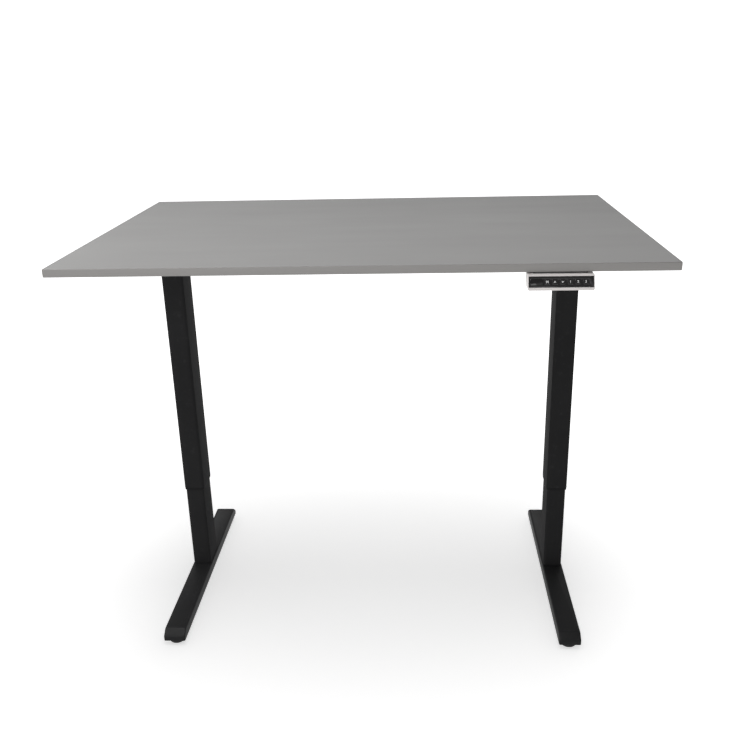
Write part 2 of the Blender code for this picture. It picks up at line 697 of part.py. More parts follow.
# ---------------------------------------------------------------- the control box and its leads
def build_control_box():
    """The box between the rails that drives both motors, with an open mains inlet in its left end."""
    half_x, half_y = CONTROL_HALF
    frame = add_empty("control_frame", (0, DESK_Y, 0))
    case = prism("control_case", rounded_rect(2 * half_x, 2 * half_y, 0.006), *CONTROL_Z, "plastic_black")
    wall = 0.0025
    room = rounded_rect(2 * (half_x - wall), 2 * (half_y - wall), 0.0035)
    cavity = prism("cavity", room, CONTROL_Z[0] + wall, CONTROL_Z[1] + 0.01, "plastic_black")
    mains_y, mains_z = 0.018, 0.8825
    half_mains = (MAINS_SIZE[0] / 2 + GAP, MAINS_SIZE[1] / 2 + GAP)
    mains_slot = block(
        "mains_slot",
        (-half_x - 0.01, mains_y - half_mains[0], mains_z - half_mains[1]),
        (-half_x + 0.01, mains_y + half_mains[0], mains_z + half_mains[1]),
    )
    combine(case, "DIFFERENCE", cavity, mains_slot)
    place(case, frame)
    lid_z = (CONTROL_Z[1] + GAP, UNDERSIDE - GAP)
    lid_outline = rounded_rect(2 * half_x + 0.030, 2 * half_y, 0.006)
    lid = prism("control_lid", lid_outline, *lid_z, "plastic_black")
    holes = [(x, y) for x in (-half_x - 0.008, half_x + 0.008) for y in (-0.025, 0.025)]
    drill(lid, holes, 0.0022, lid_z[0] - 0.01, lid_z[1] + 0.01, 12)
    place(lid, frame)
    circuit = prism("control_circuit", rounded_rect(0.170, 0.070, 0.002, 1), 0.8720, 0.8736, "board_green")
    place(circuit, frame, (0.015, 0, 0))
    build_mains_inlet(frame, (-half_x, mains_y, mains_z))


def build_mains_inlet(frame, mouth):
    """A three-blade appliance inlet whose mouth faces -X."""
    wide, tall = MAINS_SIZE
    mouth_x, back_x = -0.0005, 0.0195
    body = block("mains_inlet", (mouth_x, -wide / 2, -tall / 2), (back_x, wide / 2, tall / 2), "plastic_black")
    room = block("room", (-0.010, -0.0120, -0.0080), (0.0160, 0.0120, 0.0080), "plastic_black")
    combine(body, "DIFFERENCE", room)
    blades = []
    for y, z in ((-0.007, -0.002), (0.0, 0.003), (0.007, -0.002)):
        blades.append(block("blade", (0.0060, y - 0.001, z - 0.002), (0.0170, y + 0.001, z + 0.002), "zinc"))
    combine(body, "UNION", *blades)
    place(body, frame, mouth)


def build_lead(name, points, radius):
    """A round lead along a route that is held at both ends."""
    curve = bpy.data.curves.new(name, "CURVE")
    curve.dimensions = "3D"
    curve.bevel_depth = radius
    curve.bevel_resolution = 2
    curve.use_fill_caps = True
    route = smooth_route([Vector(p) for p in points])
    spline = curve.splines.new("POLY")
    spline.points.add(len(route) - 1)
    for target, p in zip(spline.points, route):
        target.co = (*p, 1.0)
    curve.materials.append(MATERIALS["plastic_black"])
    obj = bpy.data.objects.new(name, curve)
    bpy.context.scene.collection.objects.link(obj)


def build_leads():
    """Two motor leads and the keypad's lead, each run to the control box."""
    boss_x = COLUMN_X - HOUSING_X - MOTOR_LENGTH - 0.006 - 2 * GAP
    box_x = CONTROL_HALF[0] + GAP
    motor_y = WORM_OFFSET
    lead_z = 0.8835
    for name, sign in (("motor_lead_left", -1), ("motor_lead_right", 1)):
        route = [
            (boss_x, motor_y, GEAR_Z), (boss_x - 0.020, motor_y, GEAR_Z - 0.001),
            (boss_x - 0.060, motor_y - 0.004, GEAR_Z - 0.008),
            (boss_x - 0.110, motor_y - 0.008, GEAR_Z - 0.004),
            (box_x + 0.045, motor_y - 0.003, lead_z - 0.004), (box_x + 0.018, motor_y, lead_z),
            (box_x, motor_y, lead_z),
        ]
        build_lead(name, [(sign * x, DESK_Y + sign * y, z) for x, y, z in route], 0.0025)
    rail_y = DESK_Y - CHEEK_Y - RAIL_SIZE[0] / 2
    under_rail = UNDERSIDE - RAIL_SIZE[1] - 0.0045
    keypad_z = UNDERSIDE - 0.012
    build_lead(
        "keypad_lead",
        [
            (KEYPAD_X, FRONT_Y + KEYPAD_TAIL + GAP, keypad_z), (KEYPAD_X, FRONT_Y + 0.056, keypad_z + 0.001),
            (0.362, -0.270, UNDERSIDE - 0.004), (0.330, -0.200, UNDERSIDE - 0.003),
            (0.285, -0.130, UNDERSIDE - 0.006), (0.255, -0.085, UNDERSIDE - 0.022),
            (0.232, rail_y - 0.012, under_rail + 0.001), (0.212, rail_y + 0.010, under_rail),
            (0.190, DESK_Y - 0.034, under_rail + 0.008), (0.162, DESK_Y - 0.022, lead_z - 0.004),
            (box_x + 0.016, DESK_Y - 0.020, lead_z), (box_x, DESK_Y - 0.020, lead_z),
        ],
        0.0020,
    )


clear_scene()
MATERIALS = {name: make_material(name) for name in FINISHES}
build_top()
build_rails()
build_side_bracket("side_bracket_left", -1)
build_side_bracket("side_bracket_right", 1)
build_leg("left", -1)
build_leg("right", 1)
build_keypad()
build_control_box()
build_leads()
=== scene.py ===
"""The finished looks of a two-column electric sit-stand desk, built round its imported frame.

Every size is in metres. +Z is up, the sitter is on the -Y side, and the floor is z = 0.
"""

import json
import logging
import math
from abc import ABC, abstractmethod
from collections.abc import Callable, Sequence
from dataclasses import dataclass, field
from enum import Enum

import bmesh
import bpy
from mathutils import Matrix, Vector

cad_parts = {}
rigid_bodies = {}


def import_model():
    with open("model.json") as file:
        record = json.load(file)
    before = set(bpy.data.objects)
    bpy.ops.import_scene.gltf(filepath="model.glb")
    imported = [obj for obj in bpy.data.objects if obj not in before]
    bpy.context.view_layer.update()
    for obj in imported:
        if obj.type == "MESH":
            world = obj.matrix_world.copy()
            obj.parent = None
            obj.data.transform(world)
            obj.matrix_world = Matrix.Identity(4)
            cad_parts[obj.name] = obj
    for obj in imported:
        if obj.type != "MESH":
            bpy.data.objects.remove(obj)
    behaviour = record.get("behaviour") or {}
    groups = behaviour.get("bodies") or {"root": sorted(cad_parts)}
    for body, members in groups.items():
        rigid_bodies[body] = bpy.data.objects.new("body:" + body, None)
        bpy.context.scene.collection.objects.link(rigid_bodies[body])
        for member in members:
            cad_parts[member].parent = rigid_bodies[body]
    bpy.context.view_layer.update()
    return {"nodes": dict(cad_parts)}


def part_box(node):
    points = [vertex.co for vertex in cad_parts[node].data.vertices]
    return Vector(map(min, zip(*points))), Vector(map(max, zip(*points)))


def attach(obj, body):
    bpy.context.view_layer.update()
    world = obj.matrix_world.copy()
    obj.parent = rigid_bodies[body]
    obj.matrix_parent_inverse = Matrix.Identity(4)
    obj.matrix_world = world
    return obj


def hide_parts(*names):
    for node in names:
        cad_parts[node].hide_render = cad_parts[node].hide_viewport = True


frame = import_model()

LOG = logging.getLogger("standing_desk")
Colour = tuple[float, float, float]
Outline = list[tuple[float, float]]
Loop = list[tuple[float, float, float]]
Piece = bpy.types.Object
SHARP = math.radians(30)
FLAT = math.radians(1)
SAME_POINT = 0.000002


class Side(Enum):
    """The desk's two sides as the sitter sees them, with the sign of X."""

    LEFT = -1
    RIGHT = 1

    @property
    def word(self) -> str:
        """The ending that this side's nodes and pieces have."""
        return self.name.lower()


class End(Enum):
    """The two ends of a foot, with the sign of Y."""

    FRONT = -1
    BACK = 1

    @property
    def word(self) -> str:
        """The word that this end's nodes and pieces hold."""
        return self.name.lower()


# ------------------------------------------------------------------ node graphs
class Signal:
    """A node's output, whose arithmetic adds Math nodes to its graph."""

    def __init__(self, graph: "Graph", socket: bpy.types.NodeSocket) -> None:
        """Wraps a socket."""
        self.graph = graph
        self.socket = socket

    def beside(self, name: str) -> "Signal":
        """Another output of the same node, by its name."""
        return Signal(self.graph, self.socket.node.outputs[name])

    def math(self, operation: str, *values: "Signal | float") -> "Signal":
        """Adds a Math node on this signal."""
        sockets = dict(enumerate((self, *values)))
        return self.graph.node("ShaderNodeMath", {"operation": operation}, sockets)

    def __add__(self, other: "Signal | float") -> "Signal":
        """Adds."""
        return self.math("ADD", other)

    __radd__ = __add__

    def __sub__(self, other: "Signal | float") -> "Signal":
        """Subtracts."""
        return self.math("SUBTRACT", other)

    def __rsub__(self, other: float) -> "Signal":
        """Subtracts this signal from a number."""
        return self.graph.node("ShaderNodeMath", {"operation": "SUBTRACT"}, {0: other, 1: self})

    def __mul__(self, other: "Signal | float") -> "Signal":
        """Multiplies."""
        return self.math("MULTIPLY", other)

    __rmul__ = __mul__

    def over(self, level: float, softness: float) -> "Signal":
        """A soft step.

        Args:
            level: where the step's middle lies.
            softness: half of the step's width.

        Returns:
            0 below the step and 1 above it.
        """
        return self.graph.node(
            "ShaderNodeMapRange",
            {"interpolation_type": "SMOOTHSTEP"},
            {"Value": self, "From Min": level - softness, "From Max": level + softness},
        )

    def spread(self, low: float, high: float) -> "Signal":
        """Stretches a 0 to 1 signal."""
        return self * (high - low) + low


class Graph:
    """A node tree, with one method that adds any node."""

    def __init__(self, tree: bpy.types.NodeTree) -> None:
        """Wraps a tree."""
        self.tree = tree

    def node(
        self, kind: str, settings: dict | None = None, sockets: dict | None = None, output: int = 0
    ) -> Signal:
        """Adds a node.

        Args:
            kind: the node's type.
            settings: its own settings, set first.
            sockets: a value or a signal for each input, by name or index.
            output: which of its outputs to return.

        Returns:
            That output, or the signal of nothing where the node has no output.
        """
        made = self.tree.nodes.new(kind)
        for name, value in (settings or {}).items():
            setattr(made, name, value)
        for key, value in (sockets or {}).items():
            if isinstance(value, Signal):
                self.tree.links.new(value.socket, made.inputs[key])
            else:
                made.inputs[key].default_value = value
        return Signal(self, made.outputs[output] if made.outputs else None)

    def mix(self, share: Signal, first: "Signal | Colour", second: "Signal | Colour") -> Signal:
        """Mixes two colours."""
        pair = [c if isinstance(c, Signal) else (*c, 1.0) for c in (first, second)]
        return self.node("ShaderNodeMix", {"data_type": "RGBA"}, {0: share, 6: pair[0], 7: pair[1]}, 2)


class Paint(Graph):
    """A material in the making: one Principled shader and the patterns that feed it."""

    def __init__(self, name: str) -> None:
        """Starts an empty material.

        Args:
            name: the material's name.
        """
        self.material = bpy.data.materials.new(name)
        self.material.use_nodes = True
        super().__init__(self.material.node_tree)
        self.shader = self.tree.nodes["Principled BSDF"]
        self.place = self.node("ShaderNodeTexCoord", output=3)

    def coat(self, **sockets: "Signal | Colour | float") -> None:
        """Sets the shader's sockets.

        Args:
            sockets: values or signals, named as the sockets with _ for a space.
        """
        for key, value in sockets.items():
            socket = self.shader.inputs[key.replace("_", " ")]
            if isinstance(value, Signal):
                self.tree.links.new(value.socket, socket)
            else:
                socket.default_value = (*value, 1.0) if isinstance(value, tuple) else value

    def stretched(self, scale: Colour) -> Signal:
        """Object coordinates, scaled along each axis."""
        return self.node("ShaderNodeMapping", {}, {"Vector": self.place, "Scale": scale})

    def noise(self, scale: float, detail: float = 2.0, place: Signal | None = None) -> Signal:
        """A smooth noise."""
        sockets = {"Vector": place or self.place, "Scale": scale, "Detail": detail}
        return self.node("ShaderNodeTexNoise", {}, sockets)

    def cells(self, scale: float) -> Signal:
        """The distance from the nearest of many scattered points."""
        return self.node("ShaderNodeTexVoronoi", {}, {"Vector": self.place, "Scale": scale})

    def bump(self, height: Signal, depth: float, strength: float = 1.0) -> Signal:
        """A normal bent by a height."""
        return self.node("ShaderNodeBump", {}, {"Strength": strength, "Distance": depth, "Height": height})


# ------------------------------------------------------------------ finishes
@dataclass(frozen=True)
class Finish(ABC):
    """A surface finish: a name, a colour and how it scatters light."""

    name: str
    colour: Colour
    roughness: float

    @abstractmethod
    def lay_on(self, paint: Paint) -> None:
        """Adds this finish's patterns to a material.

        Args:
            paint: the material in the making.
        """

    def material(self) -> bpy.types.Material:
        """The finish's material, made the first time that it is asked for."""
        found = bpy.data.materials.get(self.name)
        if found is None:
            paint = Paint(self.name)
            self.lay_on(paint)
            found = paint.material
        return found

    def shade(self, factor: float) -> Colour:
        """This finish's colour, made lighter or darker."""
        return tuple(min(1.0, channel * factor) for channel in self.colour)


@dataclass(frozen=True)
class Laminate(Finish):
    """Grey melamine on board: a printed speckle under a pearled, satin skin."""

    pearls: float = 650.0
    speckles: float = 1500.0

    def lay_on(self, paint: Paint) -> None:
        """Adds the print's speckle, soft clouds, wiping marks and the pressed pearl texture."""
        cloud = paint.noise(2.6, 3.0)
        speckle = paint.noise(self.speckles, 1.0).over(0.56, 0.10)
        wiped = paint.noise(7.0, 4.0, paint.stretched((0.35, 1.6, 1.0)))
        base = paint.mix(cloud.over(0.5, 0.25), self.shade(0.965), self.shade(1.03))
        paint.coat(
            Base_Color=paint.mix(speckle * 0.35, base, self.shade(0.80)),
            Roughness=wiped.spread(self.roughness - 0.06, self.roughness + 0.06),
            Normal=paint.bump(paint.noise(self.pearls, 2.0), 0.00012, 0.55),
        )


@dataclass(frozen=True)
class EdgeStrip(Finish):
    """Satin edging: faint streaks along its length from the extruder and the scraper."""

    def lay_on(self, paint: Paint) -> None:
        """Adds streaks that run level round the desk."""
        streak = paint.noise(60.0, 3.0, paint.stretched((0.08, 0.08, 30.0)))
        paint.coat(
            Base_Color=paint.mix(streak, self.shade(0.95), self.shade(1.05)),
            Roughness=streak.spread(self.roughness - 0.05, self.roughness + 0.07),
            Normal=paint.bump(streak, 0.00004, 0.5),
        )


@dataclass(frozen=True)
class PowderCoat(Finish):
    """Powder coat on steel: a fine leathery skin, paler where it is thin, with dust in its dips."""

    grains: float = 950.0
    gloss_level: float = 0.09

    def lay_on(self, paint: Paint) -> None:
        """Adds the skin's grains, broad clouds of gloss and a trace of dust."""
        grain = paint.noise(self.grains, 3.0)
        cloud = paint.noise(11.0, 3.0)
        dust = paint.noise(70.0, 5.0).over(0.66, 0.10)
        skin = paint.mix(cloud, self.shade(0.85), self.shade(1.18))
        paint.coat(
            Base_Color=paint.mix(dust * 0.22, skin, self.shade(2.4)),
            Roughness=(cloud * 0.14 + grain * 0.10) + (self.roughness - 0.12),
            Specular_IOR_Level=self.gloss_level,
            Normal=paint.bump(grain, 0.00009, 0.6),
        )


@dataclass(frozen=True)
class MouldedPlastic(Finish):
    """Spark-eroded moulded plastic, with faint flow clouds."""

    grains: float = 1600.0
    depth: float = 0.00005
    gloss_level: float = 0.5

    def lay_on(self, paint: Paint) -> None:
        """Adds the mould's grain and faint clouds."""
        grain = paint.cells(self.grains)
        flow = paint.noise(35.0, 2.0)
        paint.coat(
            Base_Color=paint.mix(flow, self.shade(0.9), self.shade(1.12)),
            Roughness=flow.spread(self.roughness - 0.05, self.roughness + 0.06),
            Specular_IOR_Level=self.gloss_level,
            Normal=paint.bump(grain, self.depth, 0.6),
        )


@dataclass(frozen=True)
class GlossPlastic(Finish):
    """Polished plastic under a hard coat, with a few finger smears."""

    def lay_on(self, paint: Paint) -> None:
        """Adds smears that dull the shine in places."""
        smear = paint.noise(140.0, 4.0).over(0.60, 0.12)
        wave = paint.noise(60.0, 1.0)
        paint.coat(
            Base_Color=paint.mix(smear * 0.5, self.colour, self.shade(1.7)),
            Roughness=smear.spread(self.roughness, self.roughness + 0.14),
            Coat_Weight=0.45,
            Coat_Roughness=0.05,
            Normal=paint.bump(wave, 0.00003, 0.25),
        )


@dataclass(frozen=True)
class MetallicPaint(Finish):
    """Silver paint on plastic, with fine flakes."""

    flakes: float = 5200.0

    def lay_on(self, paint: Paint) -> None:
        """Adds flakes of differing brightness."""
        flake = paint.noise(self.flakes, 1.0)
        cloud = paint.noise(45.0, 2.0)
        tone = paint.mix(flake, self.shade(0.86), self.shade(1.12))
        paint.coat(
            Base_Color=paint.mix(cloud * 0.3, tone, self.shade(0.9)),
            Metallic=0.15,
            Roughness=flake.spread(self.roughness - 0.06, self.roughness + 0.08),
            Coat_Weight=0.2,
            Normal=paint.bump(flake, 0.00002, 0.35),
        )


@dataclass(frozen=True)
class WorkedMetal(Finish):
    """Bare or plated metal with tool marks drawn out along one direction."""

    marks: Colour = (1.0, 1.0, 0.05)
    blotch: float = 0.12

    def lay_on(self, paint: Paint) -> None:
        """Adds drawn-out tool marks and blotches of plating."""
        drawn = paint.noise(1400.0, 3.0, paint.stretched(self.marks))
        blotch = paint.noise(55.0, 4.0)
        tone = paint.mix(drawn, self.shade(0.82), self.shade(1.1))
        paint.coat(
            Base_Color=paint.mix(blotch * self.blotch, tone, self.shade(0.55)),
            Metallic=1.0,
            Roughness=(drawn * 0.16 + blotch * 0.12) + (self.roughness - 0.12),
            Normal=paint.bump(drawn, 0.00004, 0.4),
        )


@dataclass(frozen=True)
class Threaded(Finish):
    """Rolled steel thread about Z, drawn by its relief, with painted shade in its roots."""

    pitch: float = 0.003

    def lay_on(self, paint: Paint) -> None:
        """Adds the thread's relief and a painted shade that darkens the thread between its crests."""
        bands_per_scale = 10.0 / math.pi
        wave = paint.node(
            "ShaderNodeTexWave",
            {"bands_direction": "Z", "wave_profile": "SIN"},
            {"Vector": paint.place, "Scale": 1.0 / (bands_per_scale * self.pitch)},
            1,
        )
        blotch = paint.noise(80.0, 3.0)
        paint.coat(
            # painted shade: the colour darkens from crest to root, following the relief's own wave
            Base_Color=paint.mix(wave, self.shade(0.45), self.shade(1.05)),
            Metallic=1.0,
            Roughness=(blotch * 0.18) + (self.roughness - 0.08),
            Normal=paint.bump(wave, 0.0011, 1.0),
        )


@dataclass(frozen=True)
class CastMetal(Finish):
    """Die-cast alloy: a dull skin with flow marks and small pits."""

    def lay_on(self, paint: Paint) -> None:
        """Adds flow marks and pits."""
        flow = paint.noise(90.0, 5.0)
        pit = 1.0 - paint.cells(900.0).over(0.14, 0.06)
        paint.coat(
            Base_Color=paint.mix(flow, self.shade(0.78), self.shade(1.08)),
            Metallic=0.85,
            Roughness=flow.spread(self.roughness - 0.08, self.roughness + 0.12),
            Normal=paint.bump(flow * 0.7 - pit * 0.5, 0.00012, 0.6),
        )


@dataclass(frozen=True)
class CircuitBoard(Finish):
    """Solder mask over copper tracks, with pads."""

    tracks: float = 420.0

    def lay_on(self, paint: Paint) -> None:
        """Adds tracks that show paler through the mask, and tinned pads."""
        weave = {"Vector": paint.place, "Scale": self.tracks, "Mortar Size": 0.018, "Brick Width": 1.6}
        mortar = paint.node("ShaderNodeTexBrick", {"offset": 0.37}, weave, 1)
        pad = 1.0 - paint.cells(260.0).over(0.16, 0.03)
        masked = paint.mix(mortar, self.colour, self.shade(2.2))
        paint.coat(
            Base_Color=paint.mix(pad, masked, (0.62, 0.60, 0.55)),
            Metallic=pad * 0.9,
            Roughness=pad.spread(self.roughness, 0.3),
            Normal=paint.bump(mortar + pad, 0.00003, 0.6),
        )


@dataclass(frozen=True)
class Print(Finish):
    """Pale pad-printed ink, slightly uneven."""

    def lay_on(self, paint: Paint) -> None:
        """Adds thin spots in the ink."""
        thin = paint.noise(2600.0, 2.0)
        paint.coat(
            Base_Color=paint.mix(thin, self.shade(0.86), self.colour),
            Roughness=thin.spread(self.roughness, self.roughness + 0.1),
        )


@dataclass(frozen=True)
class StudioFloor(Finish):
    """A pale studio floor, lit a little from below, with barely visible mottling."""

    glow: float = 0.57

    def lay_on(self, paint: Paint) -> None:
        """Adds the mottling, and a glow that grows outwards to the surround's own brightness."""
        mottle = paint.noise(1.5, 3.0)
        outward = paint.node("ShaderNodeVectorMath", {"operation": "LENGTH"}, {0: paint.place}, 1)
        near, far = (self.glow,) * 3, (1.0,) * 3
        paint.coat(
            Base_Color=paint.mix(mottle, self.shade(0.985), self.shade(1.01)),
            Roughness=mottle.spread(self.roughness - 0.03, self.roughness + 0.03),
            Specular_IOR_Level=0.1,
            Emission_Color=paint.mix(outward.over(1.05, 0.85), near, far),
            Emission_Strength=1.0,
        )


LAMINATE = Laminate("grey_laminate", (0.219, 0.216, 0.213), 0.46)
EDGING = EdgeStrip("grey_edging", (0.172, 0.167, 0.161), 0.42)
BLACK_STEEL = PowderCoat("black_powder_coat", (0.0112, 0.0112, 0.0116), 0.46, gloss_level=0.10)
BLACK_TUBE = PowderCoat("black_powder_coat_tube", (0.0165, 0.0165, 0.0169), 0.52, gloss_level=0.006)
BLACK_FRAME = PowderCoat("black_powder_coat_frame", (0.0135, 0.0135, 0.0140), 0.52)
BLACK_PLASTIC = MouldedPlastic("black_moulding", (0.016, 0.016, 0.017), 0.52)
COLLAR_PLASTIC = MouldedPlastic("black_collar_moulding", (0.0115, 0.0115, 0.0118), 0.60, gloss_level=0.03)
PAD_PLASTIC = MouldedPlastic("black_glide_moulding", (0.014, 0.014, 0.014), 0.62, 1100.0, 0.00009)
WHITE_NYLON = MouldedPlastic("white_nylon", (0.72, 0.70, 0.65), 0.45)
GLOSS_BLACK = GlossPlastic("gloss_black", (0.0065, 0.0060, 0.0065), 0.12)
BUTTON_BLACK = GlossPlastic("button_gloss_black", (0.0085, 0.0080, 0.0085), 0.16)
DISPLAY_GLASS = GlossPlastic("display_glass", (0.004, 0.0035, 0.004), 0.04)
SILVER_PAINT = MetallicPaint("keypad_silver", (0.48, 0.457, 0.450), 0.42)
ZINC = WorkedMetal("zinc_plate", (0.62, 0.63, 0.62), 0.32)
BLACK_ZINC = WorkedMetal("black_screw", (0.045, 0.045, 0.048), 0.36, (1.0, 1.0, 1.0))
TURNED_BRASS = WorkedMetal("turned_brass", (0.68, 0.50, 0.22), 0.28, (0.05, 0.05, 1.0))
DRAWN_STEEL = WorkedMetal("drawn_steel", (0.56, 0.56, 0.57), 0.25, (1.0, 1.0, 0.03))
THREADED_ROD = Threaded("rolled_thread", (0.55, 0.55, 0.56), 0.30)
ALLOY = CastMetal("die_cast_alloy", (0.42, 0.42, 0.43), 0.48)
MOTOR_CAN = PowderCoat("motor_can", (0.020, 0.020, 0.021), 0.40, 1300.0, 0.5)
GREEN_BOARD = CircuitBoard("circuit_board", (0.012, 0.085, 0.035), 0.38)
LEAD_JACKET = MouldedPlastic("lead_jacket", (0.013, 0.013, 0.013), 0.58, 2400.0, 0.00003)
PALE_INK = Print("pale_ink", (0.46, 0.46, 0.46), 0.45)
FLOOR_PAINT = StudioFloor("studio_floor", (0.86, 0.86, 0.86), 0.7)


# ------------------------------------------------------------------ meshes
def rounded_rectangle(width: float, depth: float, radius: float, steps: int = 8) -> Outline:
    """A rectangle with round corners about the origin, anticlockwise.

    Args:
        width: its size along the first axis.
        depth: its size along the second axis.
        radius: the corners' radius.
        steps: how many chords each corner has.

    Returns:
        The outline's points.
    """
    points = []
    for quarter, (sx, sy) in enumerate(((1, 1), (-1, 1), (-1, -1), (1, -1))):
        for step in range(steps + 1):
            angle = math.pi / 2 * (quarter + step / steps)
            across = sx * (width / 2 - radius) + radius * math.cos(angle)
            along = sy * (depth / 2 - radius) + radius * math.sin(angle)
            points.append((across, along))
    return points


def circle(radius: float, segments: int = 32) -> Outline:
    """A circle's outline about the origin."""
    turn = 2 * math.pi / segments
    return [(radius * math.cos(turn * i), radius * math.sin(turn * i)) for i in range(segments)]


def hexagon(radius: float, segments: int = 24) -> Outline:
    """A hexagon's outline, with as many points as a circle has.

    Args:
        radius: the radius of its corners.
        segments: how many points it gets, a multiple of six.

    Returns:
        The outline's points.
    """
    per_side = segments // 6
    corners = [Vector(corner) for corner in circle(radius, 6)]
    pairs = zip(corners, corners[1:] + corners[:1])
    return [tuple(a.lerp(b, k / per_side)) for a, b in pairs for k in range(per_side)]


def level(outline: Outline, z: float, x: float = 0.0, y: float = 0.0) -> Loop:
    """An outline laid at a height, and moved along X and Y."""
    return [(x + across, y + along, z) for across, along in outline]


def settle(obj: Piece) -> Piece:
    """Turns what an object's modifiers make into its plain mesh, and removes them.

    Args:
        obj: the object.

    Returns:
        The same object.
    """
    bpy.context.view_layer.update()
    graph = bpy.context.evaluated_depsgraph_get()
    mesh = bpy.data.meshes.new_from_object(obj.evaluated_get(graph))
    obj.modifiers.clear()
    obj.data = mesh
    return obj


def linked(name: str, data: bpy.types.ID) -> Piece:
    """An object that shows a data block, linked to the scene."""
    obj = bpy.data.objects.new(name, data)
    bpy.context.scene.collection.objects.link(obj)
    return obj


def as_object(name: str, work: bmesh.types.BMesh) -> Piece:
    """Turns a bmesh into a named object at the origin, and frees it.

    Args:
        name: the object's name.
        work: the bmesh.

    Returns:
        The object.
    """
    mesh = bpy.data.meshes.new(name)
    work.to_mesh(mesh)
    work.free()
    return linked(name, mesh)


def loft(name: str, loops: Sequence[Sequence], ring: bool = False, move: Matrix | None = None) -> Piece:
    """A closed skin over loops of as many points each.

    Args:
        name: the object's name.
        loops: the loops, each a list of (x, y, z).
        ring: whether the last loop joins the first, in place of two caps.
        move: a matrix that puts the skin in its place.

    Returns:
        The object.
    """
    work = bmesh.new()
    rows = [[work.verts.new(point) for point in loop] for loop in loops]
    pairs = list(zip(rows, rows[1:])) + ([(rows[-1], rows[0])] if ring else [])
    for low, high in pairs:
        for i in range(len(low)):
            j = (i + 1) % len(low)
            work.faces.new((low[i], low[j], high[j], high[i]))
    if not ring:
        work.faces.new(rows[0])
        work.faces.new(rows[-1])
    bmesh.ops.recalc_face_normals(work, faces=work.faces)
    if move is not None:
        bmesh.ops.transform(work, matrix=move, verts=work.verts)
    return as_object(name, work)


def stacked(name: str, layers: Sequence[tuple[Outline, float]], move: Matrix | None = None) -> Piece:
    """A solid skinned over level outlines."""
    return loft(name, [level(outline, z) for outline, z in layers], move=move)


def turned(name: str, profile: Outline, segments: int = 48, move: Matrix | None = None) -> Piece:
    """A round solid about Z."""
    return stacked(name, [(circle(radius, segments), z) for radius, z in profile], move)


def soften(
    obj: Piece,
    radius: float,
    steps: int = 3,
    chosen: Callable[[bmesh.types.BMEdge], bool] = lambda edge: True,
) -> Piece:
    """Rounds an object's sharp edges, except those too short to take it.

    Args:
        obj: the object.
        radius: how far the rounding reaches from an edge.
        steps: how many facets it has.
        chosen: picks the edges, out of those that are sharp.

    Returns:
        The same object.
    """
    work = bmesh.new()
    work.from_mesh(obj.data)
    shortest = 2.5 * radius
    long = [edge for edge in work.edges if len(edge.link_faces) == 2 and edge.calc_length() > shortest]
    sharp = [edge for edge in long if edge.calc_face_angle() > SHARP and chosen(edge)]
    bmesh.ops.bevel(
        work, geom=sharp, offset=radius, segments=steps, profile=0.5, affect="EDGES", clamp_overlap=True
    )
    work.to_mesh(obj.data)
    work.free()
    return obj


def copy_of(node: str, name: str) -> Piece:
    """A clean copy of a CAD node's mesh, with its triangles merged into flat faces.

    Args:
        node: the CAD node.
        name: the copy's name.

    Returns:
        The copy.
    """
    work = bmesh.new()
    work.from_mesh(frame["nodes"][node].data)
    bmesh.ops.remove_doubles(work, verts=work.verts, dist=SAME_POINT)
    bmesh.ops.dissolve_limit(work, angle_limit=FLAT, verts=work.verts, edges=work.edges)
    bmesh.ops.recalc_face_normals(work, faces=work.faces)
    return as_object(name, work)


def dress(
    obj: Piece,
    body: str,
    finish: Finish,
    replaces: Sequence[str] = (),
    smooth: float = 35.0,
) -> Piece:
    """Gives a finished piece its finish and its place in the frame.

    Args:
        obj: the piece.
        body: the CAD body that it moves with.
        finish: its finish.
        replaces: the CAD nodes that it stands for.
        smooth: the least angle that stays a sharp edge, in degrees.

    Returns:
        The same piece.
    """
    obj.data.materials.clear()
    obj.data.materials.append(finish.material())
    obj.data.polygons.foreach_set("material_index", [0] * len(obj.data.polygons))
    obj.data.shade_smooth()
    obj.data.set_sharp_from_angle(angle=math.radians(smooth))
    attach(obj, body)
    if replaces:
        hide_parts(*replaces)
    LOG.info("%s rides on %s in %s", obj.name, body, finish.name)
    return obj


def refine(node: str, name: str, radius: float, steps: int, finish: Finish) -> None:
    """Stands a dressed copy of one of the desk's CAD nodes in for it, with its edges rounded."""
    dress(soften(copy_of(node, name), radius, steps), "desk", finish, [node])


def dress_node(node: str, finish: Finish) -> None:
    """Gives a CAD node that stays a better material.

    Args:
        node: the CAD node.
        finish: its finish.
    """
    slots = frame["nodes"][node].data.materials
    slots.clear()
    slots.append(finish.material())


def box_tube(
    name: str, size: tuple[float, float], corner: float, wall: float, ends: tuple[float, float],
    edge: float = 0.0004, move: Matrix | None = None,
) -> Piece:
    """A box-section tube along Z, with its cut ends deburred.

    Args:
        name: the object's name.
        size: the outside width and depth.
        corner: the outside corner radius.
        wall: the wall's thickness.
        ends: the heights of its two ends.
        edge: how far the deburring reaches.
        move: a matrix that puts the tube in its place.

    Returns:
        The object.
    """
    low, high = ends
    layers = [
        (edge, low), (0.0, low + edge), (0.0, high - edge), (edge, high),
        (wall - edge, high), (wall, high - edge), (wall, low + edge), (wall - edge, low),
    ]
    loops = []
    for inset, z in layers:
        outline = rounded_rectangle(size[0] - 2 * inset, size[1] - 2 * inset, corner - inset, 10)
        loops.append(level(outline, z))
    return loft(name, loops, ring=True, move=move)


def joined(name: str, parts: Sequence[Piece]) -> Piece:
    """One object from several, which are removed.

    Args:
        name: the new object's name.
        parts: the objects, all at the origin.

    Returns:
        The object.
    """
    work = bmesh.new()
    for part in parts:
        work.from_mesh(part.data)
        bpy.data.objects.remove(part)
    return as_object(name, work)


